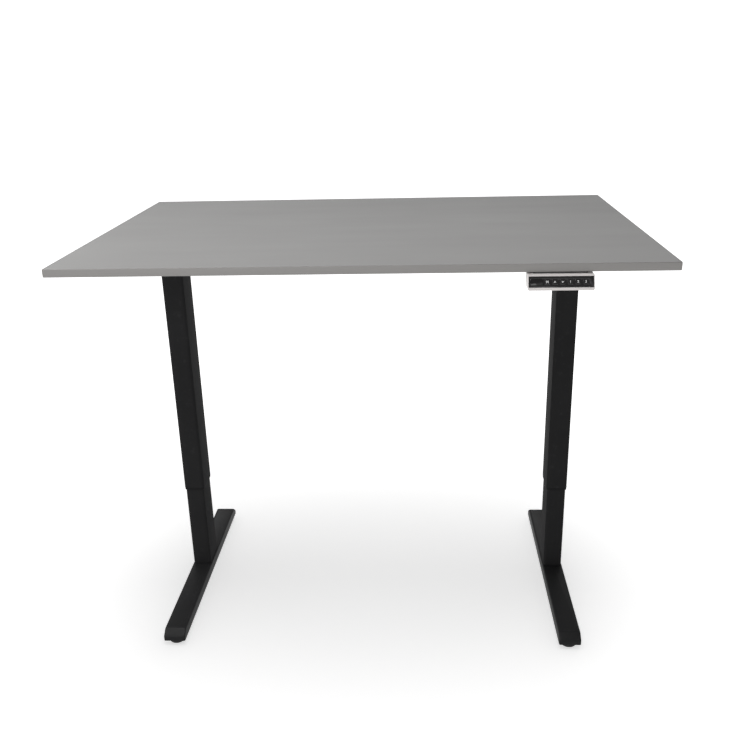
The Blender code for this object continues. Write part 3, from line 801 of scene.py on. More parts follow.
def smooth_route(points: Sequence[Vector], per_span: int = 10) -> list[Vector]:
    """Points along a smooth curve through the given ones.

    Args:
        points: the points that the curve runs through.
        per_span: how many steps there are from one to the next.

    Returns:
        The points along the curve.
    """
    ends = [points[0] * 2 - points[1], *points, points[-1] * 2 - points[-2]]
    route = []
    for i in range(len(points) - 1):
        a, b, c, d = ends[i : i + 4]
        for step in range(per_span):
            t = step / per_span
            bend = (2 * a - 5 * b + 4 * c - d) * t**2 + (3 * b - a - 3 * c + d) * t**3
            route.append(0.5 * (2 * b + (c - a) * t + bend))
    return [*route, points[-1]]


def swept(name: str, route: Sequence[Vector], radius: float, segments: int = 16) -> Piece:
    """A round cable along a route.

    Args:
        name: the object's name.
        route: the points along its middle.
        radius: its radius.
        segments: how many sides it has.

    Returns:
        The object.
    """
    across = (route[1] - route[0]).orthogonal().normalized()
    loops = []
    for i, point in enumerate(route):
        along = (route[min(i + 1, len(route) - 1)] - route[max(i - 1, 0)]).normalized()
        across = (across - along * across.dot(along)).normalized()
        third = along.cross(across)
        loops.append([point + across * x + third * y for x, y in circle(radius, segments)])
    return loft(name, loops)


def facing(direction: Vector, place: Vector) -> Matrix:
    """The matrix that turns +Z to a direction and moves the origin to a place."""
    return Matrix.Translation(place) @ direction.to_track_quat("Z", "Y").to_matrix().to_4x4()


# ------------------------------------------------------------------ screws
@dataclass(frozen=True)
class ScrewKind:
    """A kind of screw: its head's size, its hexagonal socket and its finish."""

    head_radius: float
    head_height: float
    finish: Finish
    chamfer: float = 0.0004


class ScrewHead(Graph):
    """A node tree that sets a socket-head screw on every point of a mesh."""

    SIZES = ("Head Radius", "Head Height", "Chamfer")
    SIDES = 24
    SEED = 7
    TOP_SHARE = 0.90
    SOCKET_SHARE = 0.60
    SOCKET_DEPTH = 0.6

    def __init__(self, name: str) -> None:
        """Builds the tree.

        Args:
            name: the tree's name.
        """
        super().__init__(bpy.data.node_groups.new(name, "GeometryNodeTree"))
        self.ids = {}
        self._add_input("Points", "NodeSocketGeometry")
        for label in self.SIZES:
            self._add_input(label, "NodeSocketFloat")
        self._add_input("Finish", "NodeSocketMaterial")
        self.tree.interface.new_socket("Screws", in_out="OUTPUT", socket_type="NodeSocketGeometry")
        self.inputs = self.node("NodeGroupInput")
        self._set_on_points(self._head())

    def _add_input(self, label: str, kind: str) -> None:
        """Adds a named input."""
        made = self.tree.interface.new_socket(label, in_out="INPUT", socket_type=kind)
        self.ids[label] = made.identifier

    def _input(self, label: str) -> Signal:
        """The signal of one of the tree's inputs."""
        return self.inputs.beside(label)

    def _head(self) -> Signal:
        """One head that stands on its origin: a chamfered drum with a hexagonal socket.

        Returns:
            The head's mesh.
        """
        radius, height, chamfer = (self._input(label) for label in self.SIZES)
        drum = self.node(
            "GeometryNodeMeshCylinder",
            {"fill_type": "NGON"},
            {"Vertices": self.SIDES, "Radius": radius, "Depth": height},
        )
        lift = {"Geometry": drum, "Translation": self._up(height * 0.5)}
        raised = self.node("GeometryNodeTransform", {}, lift)
        edge = self._extruded(raised, drum.beside("Top"), chamfer)
        narrowed = self._scaled(edge, self.TOP_SHARE)
        rim = self._extruded(narrowed, edge.beside("Top"), 0.0)
        socket = self._hexagonal(self._scaled(rim, self.SOCKET_SHARE), rim.beside("Top"))
        return self._extruded(socket, rim.beside("Top"), height * -self.SOCKET_DEPTH)

    def _up(self, height: Signal) -> Signal:
        """A vector straight up."""
        return self.node("ShaderNodeCombineXYZ", {}, {"Z": height})

    def _extruded(self, mesh: Signal, chosen: Signal, distance: "Signal | float") -> Signal:
        """Extrudes chosen faces."""
        sockets = {"Mesh": mesh, "Selection": chosen, "Offset Scale": distance}
        return self.node("GeometryNodeExtrudeMesh", {"mode": "FACES"}, sockets)

    def _scaled(self, extruded: Signal, factor: float) -> Signal:
        """Scales the faces that an extrusion left on top."""
        sockets = {"Geometry": extruded, "Selection": extruded.beside("Top"), "Scale": factor}
        return self.node("GeometryNodeScaleElements", {"domain": "FACE"}, sockets)

    def _hexagonal(self, mesh: Signal, chosen: Signal) -> Signal:
        """Draws the corners of chosen round faces in to a hexagon.

        Args:
            mesh: the mesh.
            chosen: which faces.

        Returns:
            The mesh.
        """
        spot = self.node("GeometryNodeInputPosition")
        parts = self.node("ShaderNodeSeparateXYZ", {}, {"Vector": spot})
        angle = parts.beside("Y").math("ARCTAN2", parts) + 2 * math.pi
        from_middle = angle.math("MODULO", math.pi / 3) - math.pi / 6
        ratio = {0: math.cos(math.pi / 6), 1: from_middle.math("COSINE")}
        factor = self.node("ShaderNodeMath", {"operation": "DIVIDE"}, ratio)
        drawn_in = {"X": parts * factor, "Y": parts.beside("Y") * factor, "Z": parts.beside("Z")}
        flat = self.node("ShaderNodeCombineXYZ", {}, drawn_in)
        sockets = {"Geometry": mesh, "Selection": chosen, "Position": flat}
        return self.node("GeometryNodeSetPosition", {}, sockets)

    def _set_on_points(self, head: Signal) -> None:
        """Copies the head to every point, turned to face out, and finishes the tree.

        Args:
            head: the head's mesh.
        """
        kind = {"data_type": "FLOAT_VECTOR"}
        outward = self.node("GeometryNodeInputNamedAttribute", kind, {"Name": "outward"})
        aligned = self.node("FunctionNodeAlignRotationToVector", {"axis": "Z"}, {"Vector": outward})
        full_turn = {3: 2 * math.pi, "Seed": self.SEED}
        angle = self.node("FunctionNodeRandomValue", {"data_type": "FLOAT"}, full_turn, 1)
        spin = self.node("FunctionNodeEulerToRotation", {}, {0: self._up(angle)})
        both = {"Rotation": aligned, "Rotate By": spin}
        turned_to = self.node("FunctionNodeRotateRotation", {"rotation_space": "LOCAL"}, both)
        set_out = {"Points": self._input("Points"), "Instance": head, "Rotation": turned_to}
        copies = self.node("GeometryNodeInstanceOnPoints", {}, set_out)
        real = self.node("GeometryNodeRealizeInstances", {}, {"Geometry": copies})
        coat = {"Geometry": real, "Material": self._input("Finish")}
        self.node("NodeGroupOutput", {}, {0: self.node("GeometryNodeSetMaterial", {}, coat)})


@dataclass
class ScrewSet:
    """The screws of one kind on one body, gathered spot by spot and built as one mesh."""

    name: str
    body: str
    kind: ScrewKind
    spots: list[tuple[Vector, Vector]] = field(default_factory=list)

    def add(self, place: Vector, outward: Vector) -> None:
        """Adds a screw."""
        self.spots.append((place, outward))

    def build(self) -> Piece:
        """Builds the screws.

        Returns:
            The dressed mesh of all of them.
        """
        mesh = bpy.data.meshes.new(self.name)
        mesh.from_pydata([place for place, _ in self.spots], [], [])
        outward = mesh.attributes.new("outward", "FLOAT_VECTOR", "POINT")
        outward.data.foreach_set("vector", [value for _, way in self.spots for value in way])
        obj = linked(self.name, mesh)
        head = ScrewHead(self.name)
        modifier = obj.modifiers.new("screws", "NODES")
        modifier.node_group = head.tree
        kind = self.kind
        for label, value in zip(head.SIZES, (kind.head_radius, kind.head_height, kind.chamfer)):
            modifier[head.ids[label]] = value
        modifier[head.ids["Finish"]] = kind.finish.material()
        return dress(settle(obj), self.body, self.kind.finish)


BOARD_SCREW = ScrewKind(0.0056, 0.0026, BLACK_ZINC)
FRAME_BOLT = ScrewKind(0.0052, 0.0030, BLACK_ZINC)
CASE_SCREW = ScrewKind(0.0030, 0.0014, BLACK_ZINC, 0.0003)
COVER_SCREW = ScrewKind(0.0028, 0.0018, ZINC, 0.0003)


# ------------------------------------------------------------------ the desk's own sizes
DESK_Y = 0.008
DESK_TOP = 0.918
UNDERSIDE = 0.902
DESK_SIZE = (1.2, 0.8)
FRONT_Y = DESK_Y - DESK_SIZE[1] / 2
COLUMN_X = 0.4575
GAP = 0.0003
PLATE = 0.003
GEAR_Z = 0.868
WORM_OFFSET = 0.022
RAIL_HALF = 0.5025
RAIL_Z = 0.8817
FOOT_TOP = 0.037
HANDSET_X = 0.379
HANDSET_TAIL = 0.026
HANDSET_PLATE = 0.0018
DOWN = Vector((0, 0, -1))
UP = Vector((0, 0, 1))


@dataclass
class Desktop:
    """The worktop: a laminated board with an edging strip all round."""

    edging: float = 0.0020
    corner: float = 0.0030
    round_over: float = 0.0012
    joint: float = 0.00012

    def _outline(self, inset: float, z: float) -> Loop:
        """The desk's outline drawn in by an inset.

        Args:
            inset: how far it is drawn in.
            z: its height.

        Returns:
            The points of the loop.
        """
        corner = max(self.corner - inset, 0.0009)
        outline = rounded_rectangle(DESK_SIZE[0] - 2 * inset, DESK_SIZE[1] - 2 * inset, corner, 8)
        return level(outline, z, y=DESK_Y)

    def build(self) -> None:
        """Builds and dresses the board and its edging."""
        inner = self.edging + self.joint
        bevel = 0.0002
        layers = [
            (inner + bevel, UNDERSIDE), (inner, UNDERSIDE + bevel),
            (inner, DESK_TOP - bevel), (inner + bevel, DESK_TOP),
        ]
        board = loft("worktop_board", [self._outline(inset, z) for inset, z in layers])
        dress(board, "desk", LAMINATE, ["desktop_board"])
        dress(self._edging_strip(), "desk", EDGING, ["edge_band"])

    def _edging_strip(self) -> Piece:
        """The edging: a ring whose outer edges are rounded over.

        Returns:
            The strip.
        """
        steps = 5
        radius = self.round_over
        turn = [math.pi / 2 * step / steps for step in range(steps + 1)]
        rounding = [(radius * (1 - math.sin(a)), radius * (1 - math.cos(a))) for a in turn]
        low = [(inset, UNDERSIDE + rise) for inset, rise in rounding]
        high = [(inset, DESK_TOP - rise) for inset, rise in reversed(rounding)]
        section = [(self.edging, UNDERSIDE), *low, *high, (self.edging, DESK_TOP)]
        return loft("worktop_edging", [self._outline(inset, z) for inset, z in section], ring=True)


@dataclass
class UnderFrame:
    """The rails along the desk and the angle brackets across its ends."""

    rail_y: float = 0.0633
    bracket_holes: tuple[float, ...] = (-0.250, -0.130, 0.130, 0.250)
    hole_offset: float = 0.0275
    bolt_rises: tuple[float, ...] = (-0.010, 0.008)

    def build(self) -> None:
        """Builds and dresses the rails, the brackets and their screws."""
        for end in End:
            self._rail(end)
        board_screws = ScrewSet("board_screws", "desk", BOARD_SCREW)
        rail_bolts = ScrewSet("rail_end_bolts", "desk", FRAME_BOLT)
        for side in Side:
            name = f"end_angle_{side.word}"
            refine(f"side_bracket_{side.word}", name, 0.0006, 2, BLACK_FRAME)
            for y in self.bracket_holes:
                x = side.value * (RAIL_HALF + self.hole_offset)
                board_screws.add(Vector((x, DESK_Y + y, UNDERSIDE - GAP - PLATE)), DOWN)
            for end in End:
                for rise in self.bolt_rises:
                    x = side.value * (RAIL_HALF + 0.0005 + PLATE)
                    place = Vector((x, DESK_Y + end.value * self.rail_y, RAIL_Z + rise))
                    rail_bolts.add(place, Vector((side.value, 0, 0)))
        board_screws.build()
        rail_bolts.build()

    def _rail(self, end: End) -> None:
        """Builds and dresses one rail.

        Args:
            end: whether it is the front rail or the back one.
        """
        lay = Matrix.Rotation(math.radians(90), 4, "Y")
        move = Matrix.Translation((0, DESK_Y + end.value * self.rail_y, RAIL_Z)) @ lay
        ends = (-RAIL_HALF, RAIL_HALF)
        rail = box_tube(f"long_rail_{end.word}", (0.040, 0.020), 0.003, 0.0015, ends, 0.0003, move)
        dress(rail, "desk", BLACK_FRAME, [f"rail_{end.word}"])


@dataclass
class Leg:
    """One leg: the foot and its glides, the two tubes, the collar between them and the head."""

    side: Side
    foot_front: float = 0.327
    foot_back: float = 0.273
    foot_low: float = 0.013
    foot_width: float = 0.050
    foot_wall: float = 0.0025
    nose: float = 0.018
    nose_drop: float = 0.0135
    glide_inset: float = 0.026
    tube_width: float = 0.050
    tube_depth: float = 0.080
    nesting: float = 0.005
    tube_wall: float = 0.0018
    lower_ends: tuple[float, float] = (0.0373, 0.600)
    upper_ends: tuple[float, float] = (0.262, 0.8417)
    collar_height: float = 0.0057
    foot_bolt: tuple[float, float] = (0.011, 0.024)
    head_bolt: tuple[float, float] = (0.033, 0.050)

    def __post_init__(self) -> None:
        """Works out where the leg stands."""
        self.axis = Vector((self.side.value * COLUMN_X, DESK_Y, 0))
        self.lower = f"leg_{self.side.word}"

    def build(self) -> None:
        """Builds and dresses the leg from the floor up."""
        dress(self._foot(), self.lower, BLACK_STEEL, [f"foot_{self.side.word}"], 33.0)
        for end in End:
            self._glide(end)
        self._columns()
        self._collar()
        self._head()
        self._bolts()
        dress_node(f"foot_plate_{self.side.word}", ZINC)
        dress_node(f"glide_cap_{self.side.word}", WHITE_NYLON)
        dress_node(f"spindle_nut_{self.side.word}", TURNED_BRASS)

    def _glide_y(self, end: End) -> float:
        """How far a glide stands from the column's axis, along Y."""
        reach = self.foot_front if end is End.FRONT else self.foot_back
        return end.value * (reach - self.glide_inset)

    def _plan(self, inset: float, ends_in: float, corner: float, z: float) -> Loop:
        """The foot's outline at one height.

        Args:
            inset: how far its long sides are drawn in.
            ends_in: how far its two ends are drawn in.
            corner: its corner radius.
            z: the height.

        Returns:
            The points of the loop.
        """
        length = self.foot_front + self.foot_back - 2 * ends_in
        middle = self.axis.y + (self.foot_back - self.foot_front) / 2
        outline = rounded_rectangle(self.foot_width - 2 * inset, length, corner, 6)
        return level(outline, z, self.axis.x, middle)

    def _foot(self) -> Piece:
        """The foot: a shallow channel, open below, whose ends slope down, with a boss for each glide.

        Returns:
            The foot.
        """
        edge, wall, corner = 0.003, self.foot_wall, 0.0035
        shoulder = FOOT_TOP - self.nose_drop
        slope = self.nose / self.nose_drop
        ceiling = FOOT_TOP - wall
        loops = [
            self._plan(wall, wall * 1.25 + (ceiling - shoulder) * slope, 0.001, ceiling),
            self._plan(wall, wall * 1.25, 0.001, shoulder),
            self._plan(wall, wall, 0.001, self.foot_low + 0.0004),
            self._plan(wall - 0.0004, wall - 0.0004, 0.0014, self.foot_low),
            self._plan(0.0004, 0.0004, corner - 0.0004, self.foot_low),
            self._plan(0.0, 0.0, corner, self.foot_low + 0.0004),
            self._plan(0.0, 0.0, corner, shoulder - 0.0006),
            self._plan(0.0, 0.0003, corner, shoulder),
        ]
        rise = FOOT_TOP - edge
        for z in (shoulder + 0.0006, (shoulder + rise) / 2, rise):
            loops.append(self._plan(0.0, (z - shoulder) * slope, corner, z))
        steps = 6
        for step in range(1, steps + 1):
            angle = math.pi / 2 * step / steps
            z = rise + edge * math.sin(angle)
            inset = edge * (1 - math.cos(angle))
            loops.append(self._plan(inset, (z - shoulder) * slope + inset * 0.15, corner, z))
        shell = loft(f"foot_shell_{self.side.word}", loops)
        return joined(f"foot_channel_{self.side.word}", [shell, *(self._boss(end) for end in End)])

    def _boss(self, end: End) -> Piece:
        """The drilled boss that a glide's stud screws up into.

        Args:
            end: which end of the foot it is at.

        Returns:
            The boss.
        """
        low, high = FOOT_TOP - 0.016, FOOT_TOP - self.foot_wall / 2
        profile = [
            (0.0044, high), (0.0044, low + 0.0004), (0.0048, low),
            (0.0086, low), (0.0090, low + 0.0004), (0.0090, high),
        ]
        move = Matrix.Translation(self.axis + Vector((0, self._glide_y(end), 0)))
        loops = [level(circle(radius), z) for radius, z in profile]
        return loft(f"boss_{end.word}", loops, ring=True, move=move)

    def _glide(self, end: End) -> None:
        """Builds and dresses a levelling glide.

        Args:
            end: which end of the foot it is at.
        """
        move = Matrix.Translation(self.axis + Vector((0, self._glide_y(end), 0)))
        pad = [
            (0.0162, 0.0), (0.0172, 0.0003), (0.0179, 0.0012), (0.0180, 0.0022), (0.0178, 0.0044),
            (0.0172, 0.0056), (0.0160, 0.0063), (0.0118, 0.0074), (0.0104, 0.0079), (0.0098, 0.0085),
        ]
        nut = [(0.0098, 0.0085), (0.0099, 0.0089), (0.0099, 0.0116), (0.0096, 0.0120)]
        layers = [(circle(radius, 48), z) for radius, z in pad]
        layers += [(hexagon(radius, 48), z) for radius, z in nut]
        root, crest, pitch, threads = 0.0033, 0.0039, 0.00125, 12
        stud = [(crest, 0.01201)]
        for turn in range(threads):
            z = 0.0122 + pitch * turn
            stud += [(root, z), (crest, z + pitch / 2)]
        stud.append((0.0030, 0.0277))
        layers += [(circle(radius, 48), z) for radius, z in stud]
        name = f"levelling_glide_{end.word}_{self.side.word}"
        body = f"glide_{end.word}_{self.side.word}"
        dress(stacked(name, layers, move), body, PAD_PLASTIC, [body], 40.0)

    def _columns(self) -> None:
        """Builds and dresses the lower and the upper tube."""
        stand = Matrix.Translation(self.axis)
        word = self.side.word
        size = (self.tube_width, self.tube_depth)
        less = (size[0] - self.nesting, size[1] - self.nesting)
        tubes = (
            ("lower", "inner", self.lower, less, 0.0055, self.lower_ends, 0.0004),
            ("upper", "outer", "desk", size, 0.007, self.upper_ends, 0.0002),
        )
        for name, node, body, section, corner, ends, edge in tubes:
            tube = box_tube(f"{name}_tube_{word}", section, corner, self.tube_wall, ends, edge, stand)
            dress(tube, body, BLACK_TUBE, [f"{node}_column_{word}"])

    def _collar(self) -> None:
        """Builds and dresses the collar at the upper tube's mouth, from widths, corners and heights."""
        high = self.upper_ends[0] - GAP
        low = high - self.collar_height
        section = [
            (0.0456, 0.0056, high), (0.0456, 0.0056, low + 0.0006), (0.0462, 0.0058, low),
            (0.0472, 0.0060, low), (0.0484, 0.0064, low + 0.0006), (0.0492, 0.0067, low + 0.0018),
            (0.0494, 0.0068, high - 0.0002), (0.0492, 0.0067, high),
        ]
        loops = []
        for width, corner, z in section:
            outline = rounded_rectangle(width, width + self.tube_depth - self.tube_width, corner, 10)
            loops.append(level(outline, z))
        node = f"column_collar_{self.side.word}"
        stand = Matrix.Translation(self.axis)
        collar = loft(f"tube_collar_{self.side.word}", loops, ring=True, move=stand)
        dress(collar, "desk", COLLAR_PLASTIC, [node])

    def _head(self) -> None:
        """Refines and dresses the channel on top of the column."""
        name = f"column_head_{self.side.word}"
        refine(f"head_bracket_{self.side.word}", name, 0.0006, 2, BLACK_FRAME)

    def _bolts(self) -> None:
        """Builds the bolts that hold the foot to its column and the column's head to the rails."""
        word = self.side.word
        foot_bolts = ScrewSet(f"foot_bolts_{word}", self.lower, FRAME_BOLT)
        head_bolts = ScrewSet(f"head_bolts_{word}", "desk", FRAME_BOLT)
        for across in (-1, 1):
            for along in (-1, 1):
                x, y = self.foot_bolt
                spot = Vector((across * x, along * y, FOOT_TOP - self.foot_wall))
                foot_bolts.add(self.axis + spot, DOWN)
                x, y = self.head_bolt
                cheek = Vector((across * x, along * y, RAIL_Z))
                head_bolts.add(self.axis + cheek, Vector((0, -along, 0)))
        foot_bolts.build()
        head_bolts.build()


@dataclass
class Drive:
    """The drive on top of one column: motor, gear housing, cover, worm, wheel, spindle and bearing."""

    side: Side
    housing_x: float = 0.023
    length: float = 0.085
    cover_top: float = 0.8905
    bolt_circle: float = 0.0135

    def __post_init__(self) -> None:
        """Works out the unit's place. The same unit stands turned round on the right."""
        turn = math.pi if self.side is Side.RIGHT else 0.0
        axis = Vector((self.side.value * COLUMN_X, DESK_Y, 0))
        self.frame = Matrix.Translation(axis) @ Matrix.Rotation(turn, 4, "Z")

    def build(self) -> None:
        """Builds and dresses the unit."""
        word = self.side.word
        refine(f"gear_housing_{word}", f"drive_housing_{word}", 0.0007, 3, ALLOY)
        refine(f"gear_cover_{word}", f"drive_cover_{word}", 0.0006, 2, ALLOY)
        dress(self._motor(), "desk", MOTOR_CAN, [f"motor_{word}"])
        self._screws()
        dress_node(f"spindle_{word}", THREADED_ROD)
        dress_node(f"spindle_bearing_{word}", DRAWN_STEEL)
        dress_node(f"worm_wheel_{word}", TURNED_BRASS)
        dress_node(f"worm_shaft_{word}", DRAWN_STEEL)

    def _motor(self) -> Piece:
        """The motor: a can with rolled grooves, an end bell and the boss that its lead leaves by.

        Returns:
            The motor.
        """
        end = self.length
        profile = [
            (0.0046, 0.0220), (0.0046, 0.0), (0.0150, 0.0), (0.0160, 0.0006), (0.0206, 0.0028),
            (0.0219, 0.0042),
            (0.0220, 0.0048), (0.0220, 0.0120), (0.0213, 0.0124), (0.0213, 0.0134), (0.0220, 0.0138),
            (0.0220, end - 0.0150), (0.0213, end - 0.0146), (0.0213, end - 0.0136),
            (0.0220, end - 0.0132),
            (0.0220, end - 0.0042), (0.0216, end - 0.0030), (0.0190, end - 0.0003), (0.0184, end),
            (0.0086, end), (0.0080, end + 0.0006), (0.0080, end + 0.0052), (0.0074, end + 0.0060),
        ]
        lay = Matrix.Rotation(math.radians(90), 4, "Y")
        start = Matrix.Translation((self.housing_x + GAP, -WORM_OFFSET, GEAR_Z))
        return turned(f"drive_motor_{self.side.word}", profile, 64, self.frame @ start @ lay)

    def _screws(self) -> None:
        """Builds the screws in the gear cover and in the motor's end bell."""
        cover_screws = ScrewSet(f"drive_screws_{self.side.word}", "desk", COVER_SCREW)
        for x in (-0.0185, 0.0185):
            for y in (-0.0325, 0.0185):
                cover_screws.add(self.frame @ Vector((x, y, self.cover_top)), UP)
        along = self.frame.to_3x3() @ Vector((1, 0, 0))
        for turn in (0.25, 0.75, 1.25, 1.75):
            y = self.bolt_circle * math.cos(turn * math.pi) - WORM_OFFSET
            z = self.bolt_circle * math.sin(turn * math.pi) + GEAR_Z
            cover_screws.add(self.frame @ Vector((self.housing_x + GAP + self.length, y, z)), along)
        cover_screws.build()


class Mark(Enum):
    """The generic mark on each key, and the button that it is on."""

    MEMORY = "M"
    UP = "up"
    DOWN = "down"
    PRESET_ONE = "1"
    PRESET_TWO = "2"
    PRESET_THREE = "3"


@dataclass
class Keypad:
    """The handset under the front edge: a silver shell, a gloss panel, a display window and six keys."""

    place: Vector = field(default_factory=lambda: Vector((HANDSET_X, FRONT_Y, 0.8996)))
    shelf: float = 0.007
    run: float = 0.009
    drop: float = 0.0238
    brow: float = 0.0040
    panel: float = 0.0205
    pitch: float = 0.0141
    first_key: float = -0.0257
    key: float = 0.0098
    mark_height: float = 0.0046

    def __post_init__(self) -> None:
        """Works out the frame of the sloped face: x along the desk, y up the slope, z out of it."""
        slope = math.atan2(self.drop, self.run)
        down_slope = Vector((0, -math.cos(slope), -math.sin(slope)))
        middle = self.place + Vector((0, -self.shelf, 0)) + down_slope * (self.brow + self.panel / 2)
        self.face = Matrix.Translation(middle) @ Matrix.Rotation(slope, 4, "X")

    def build(self) -> None:
        """Builds and dresses the handset."""
        refine("keypad_plate", "handset_plate", 0.0003, 2, BLACK_PLASTIC)
        dress(self._shell(), "desk", SILVER_PAINT, ["keypad_shell"], 40.0)
        refine("keypad_panel", "handset_panel", 0.00022, 2, GLOSS_BLACK)
        refine("display_window", "handset_window", 0.00015, 2, DISPLAY_GLASS)
        dress_node("keypad_circuit", GREEN_BOARD)
        for index, mark in enumerate(Mark):
            self._key(mark, self.first_key + self.pitch * index)
        screws = ScrewSet("handset_screws", "desk", CASE_SCREW)
        for x in (-0.040, 0.040):
            spot = (HANDSET_X + x, FRONT_Y + HANDSET_TAIL + 0.003, UNDERSIDE - GAP - HANDSET_PLATE)
            screws.add(Vector(spot), DOWN)
        screws.build()

    def _shell(self) -> Piece:
        """The shell, with well rounded corners at its two ends and slightly rounded edges elsewhere.

        Returns:
            The shell.
        """
        low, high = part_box("keypad_shell")
        near = 0.0001

        def runs_back_at_a_corner(edge: bmesh.types.BMEdge) -> bool:
            """Whether an edge runs away from the sitter at one of the shell's four corners."""
            first, second = (vert.co for vert in edge.verts)
            apart = (first.x - second.x, first.z - second.z)
            from_end = min(abs(first.x - low.x), abs(first.x - high.x))
            from_level = min(abs(first.z - low.z), abs(first.z - high.z))
            return max(abs(apart[0]), abs(apart[1]), from_end, from_level) < near

        shell = soften(copy_of("keypad_shell", "handset_shell"), 0.0022, 5, runs_back_at_a_corner)
        return soften(shell, 0.0004, 2)

    def _key(self, mark: Mark, x: float) -> None:
        """Builds and dresses one key and the mark on it.

        Args:
            mark: the key's mark.
            x: the key's place along the face.
        """
        word = mark.name.lower()
        move = self.face @ Matrix.Translation((x, 0, 0))
        under, flange = -0.0023, self.key + 0.0020
        layers = [
            (flange, 0.0012, under - 0.0008), (flange, 0.0012, under), (self.key, 0.0012, under),
            (self.key, 0.0012, 0.00002), (self.key - 0.0002, 0.0011, 0.00018),
            (self.key - 0.0006, 0.0010, 0.00032), (self.key - 0.0012, 0.0009, 0.0004),
        ]
        skins = [(rounded_rectangle(size, size, corner, 5), z) for size, corner, z in layers]
        body = f"button_{word}"
        dress(stacked(f"key_{word}", skins, move), body, BUTTON_BLACK, [body], 30.0)
        shape = self._arrow(mark) if mark in (Mark.UP, Mark.DOWN) else self._glyph(mark)
        shape.data.transform(move @ Matrix.Translation((0, 0, 0.00043)))
        dress(shape, body, PALE_INK)

    def _arrow(self, mark: Mark) -> Piece:
        """A flat arrowhead that points up or down the slope.

        Args:
            mark: which way it points.

        Returns:
            The arrowhead.
        """
        way = 1 if mark is Mark.UP else -1
        half = self.mark_height / 2
        corners = [(-1, -0.35), (0, 0.85), (1, -0.35), (0.62, -0.75), (0, 0.05), (-0.62, -0.75)]
        outline = [(x * half, y * half * way) for x, y in corners]
        return stacked(f"mark_{mark.name.lower()}", [(outline, -0.00002), (outline, 0.00002)])

    def _glyph(self, mark: Mark) -> Piece:
        """A flat letter or digit.

        Args:
            mark: the mark.

        Returns:
            The glyph's mesh.
        """
        capital_share = 0.70
        text = bpy.data.curves.new(mark.name, "FONT")
        text.body = mark.value
        text.size = self.mark_height / capital_share
        text.offset = 0.00012
        text.extrude = 0.00002
        text.align_x, text.align_y = "CENTER", "CENTER"
        source = linked(mark.name, text)
        bpy.context.view_layer.update()
        graph = bpy.context.evaluated_depsgraph_get()
        mesh = bpy.data.meshes.new_from_object(source.evaluated_get(graph))
        bpy.data.objects.remove(source)
        return linked(f"mark_{mark.name.lower()}", mesh)


@dataclass
class ControlBox:
    """The control box between the rails, with the appliance inlet in its left end."""

    lid_z: float = 0.8987

    def build(self) -> None:
        """Builds and dresses the box."""
        refine("control_case", "controller_case", 0.0010, 3, BLACK_PLASTIC)
        refine("control_lid", "controller_lid", 0.0006, 2, BLACK_PLASTIC)
        refine("mains_inlet", "controller_inlet", 0.0004, 2, BLACK_PLASTIC)
        dress_node("control_circuit", GREEN_BOARD)
        screws = ScrewSet("controller_screws", "desk", CASE_SCREW)
        for x in (-0.118, 0.118):
            for y in (-0.025, 0.025):
                screws.add(Vector((x, DESK_Y + y, self.lid_z)), DOWN)
        screws.build()


@dataclass
class Lead:
    """A lead held at both ends, with a ribbed sleeve at each."""

    name: str
    node: str
    points: list[Vector]
    radius: float

    def build(self) -> None:
        """Builds and dresses the lead and its sleeves."""
        cable = swept(f"{self.name}_cable", smooth_route(self.points), self.radius)
        first = self._sleeve(self.points[0], self.points[1] - self.points[0])
        last = self._sleeve(self.points[-1], self.points[-2] - self.points[-1])
        lead = joined(self.name, [cable, first, last])
        dress(lead, "desk", LEAD_JACKET, [self.node], 50.0)

    def _sleeve(self, place: Vector, way: Vector) -> Piece:
        """A strain relief: a tapering sleeve with ribs.

        Args:
            place: where it leaves its housing.
            way: the way that it points.

        Returns:
            The sleeve.
        """
        ribs, pitch = 5, 0.0022
        flange = self.radius + 0.0018
        profile = [(self.radius * 0.8, 0.0002), (flange, 0.0002), (flange, 0.0016)]
        for rib in range(ribs):
            swell = 0.0014 - 0.0002 * rib
            z = 0.0020 + pitch * rib
            outer = self.radius + swell
            profile += [(self.radius + 0.0003, z), (outer, z + 0.0005), (outer, z + 0.0014)]
        top = 0.0020 + pitch * ribs
        profile += [(self.radius + 0.0002, top), (self.radius * 0.8, top + 0.0002)]
        return turned(f"{self.name}_sleeve", profile, 24, facing(way.normalized(), place))


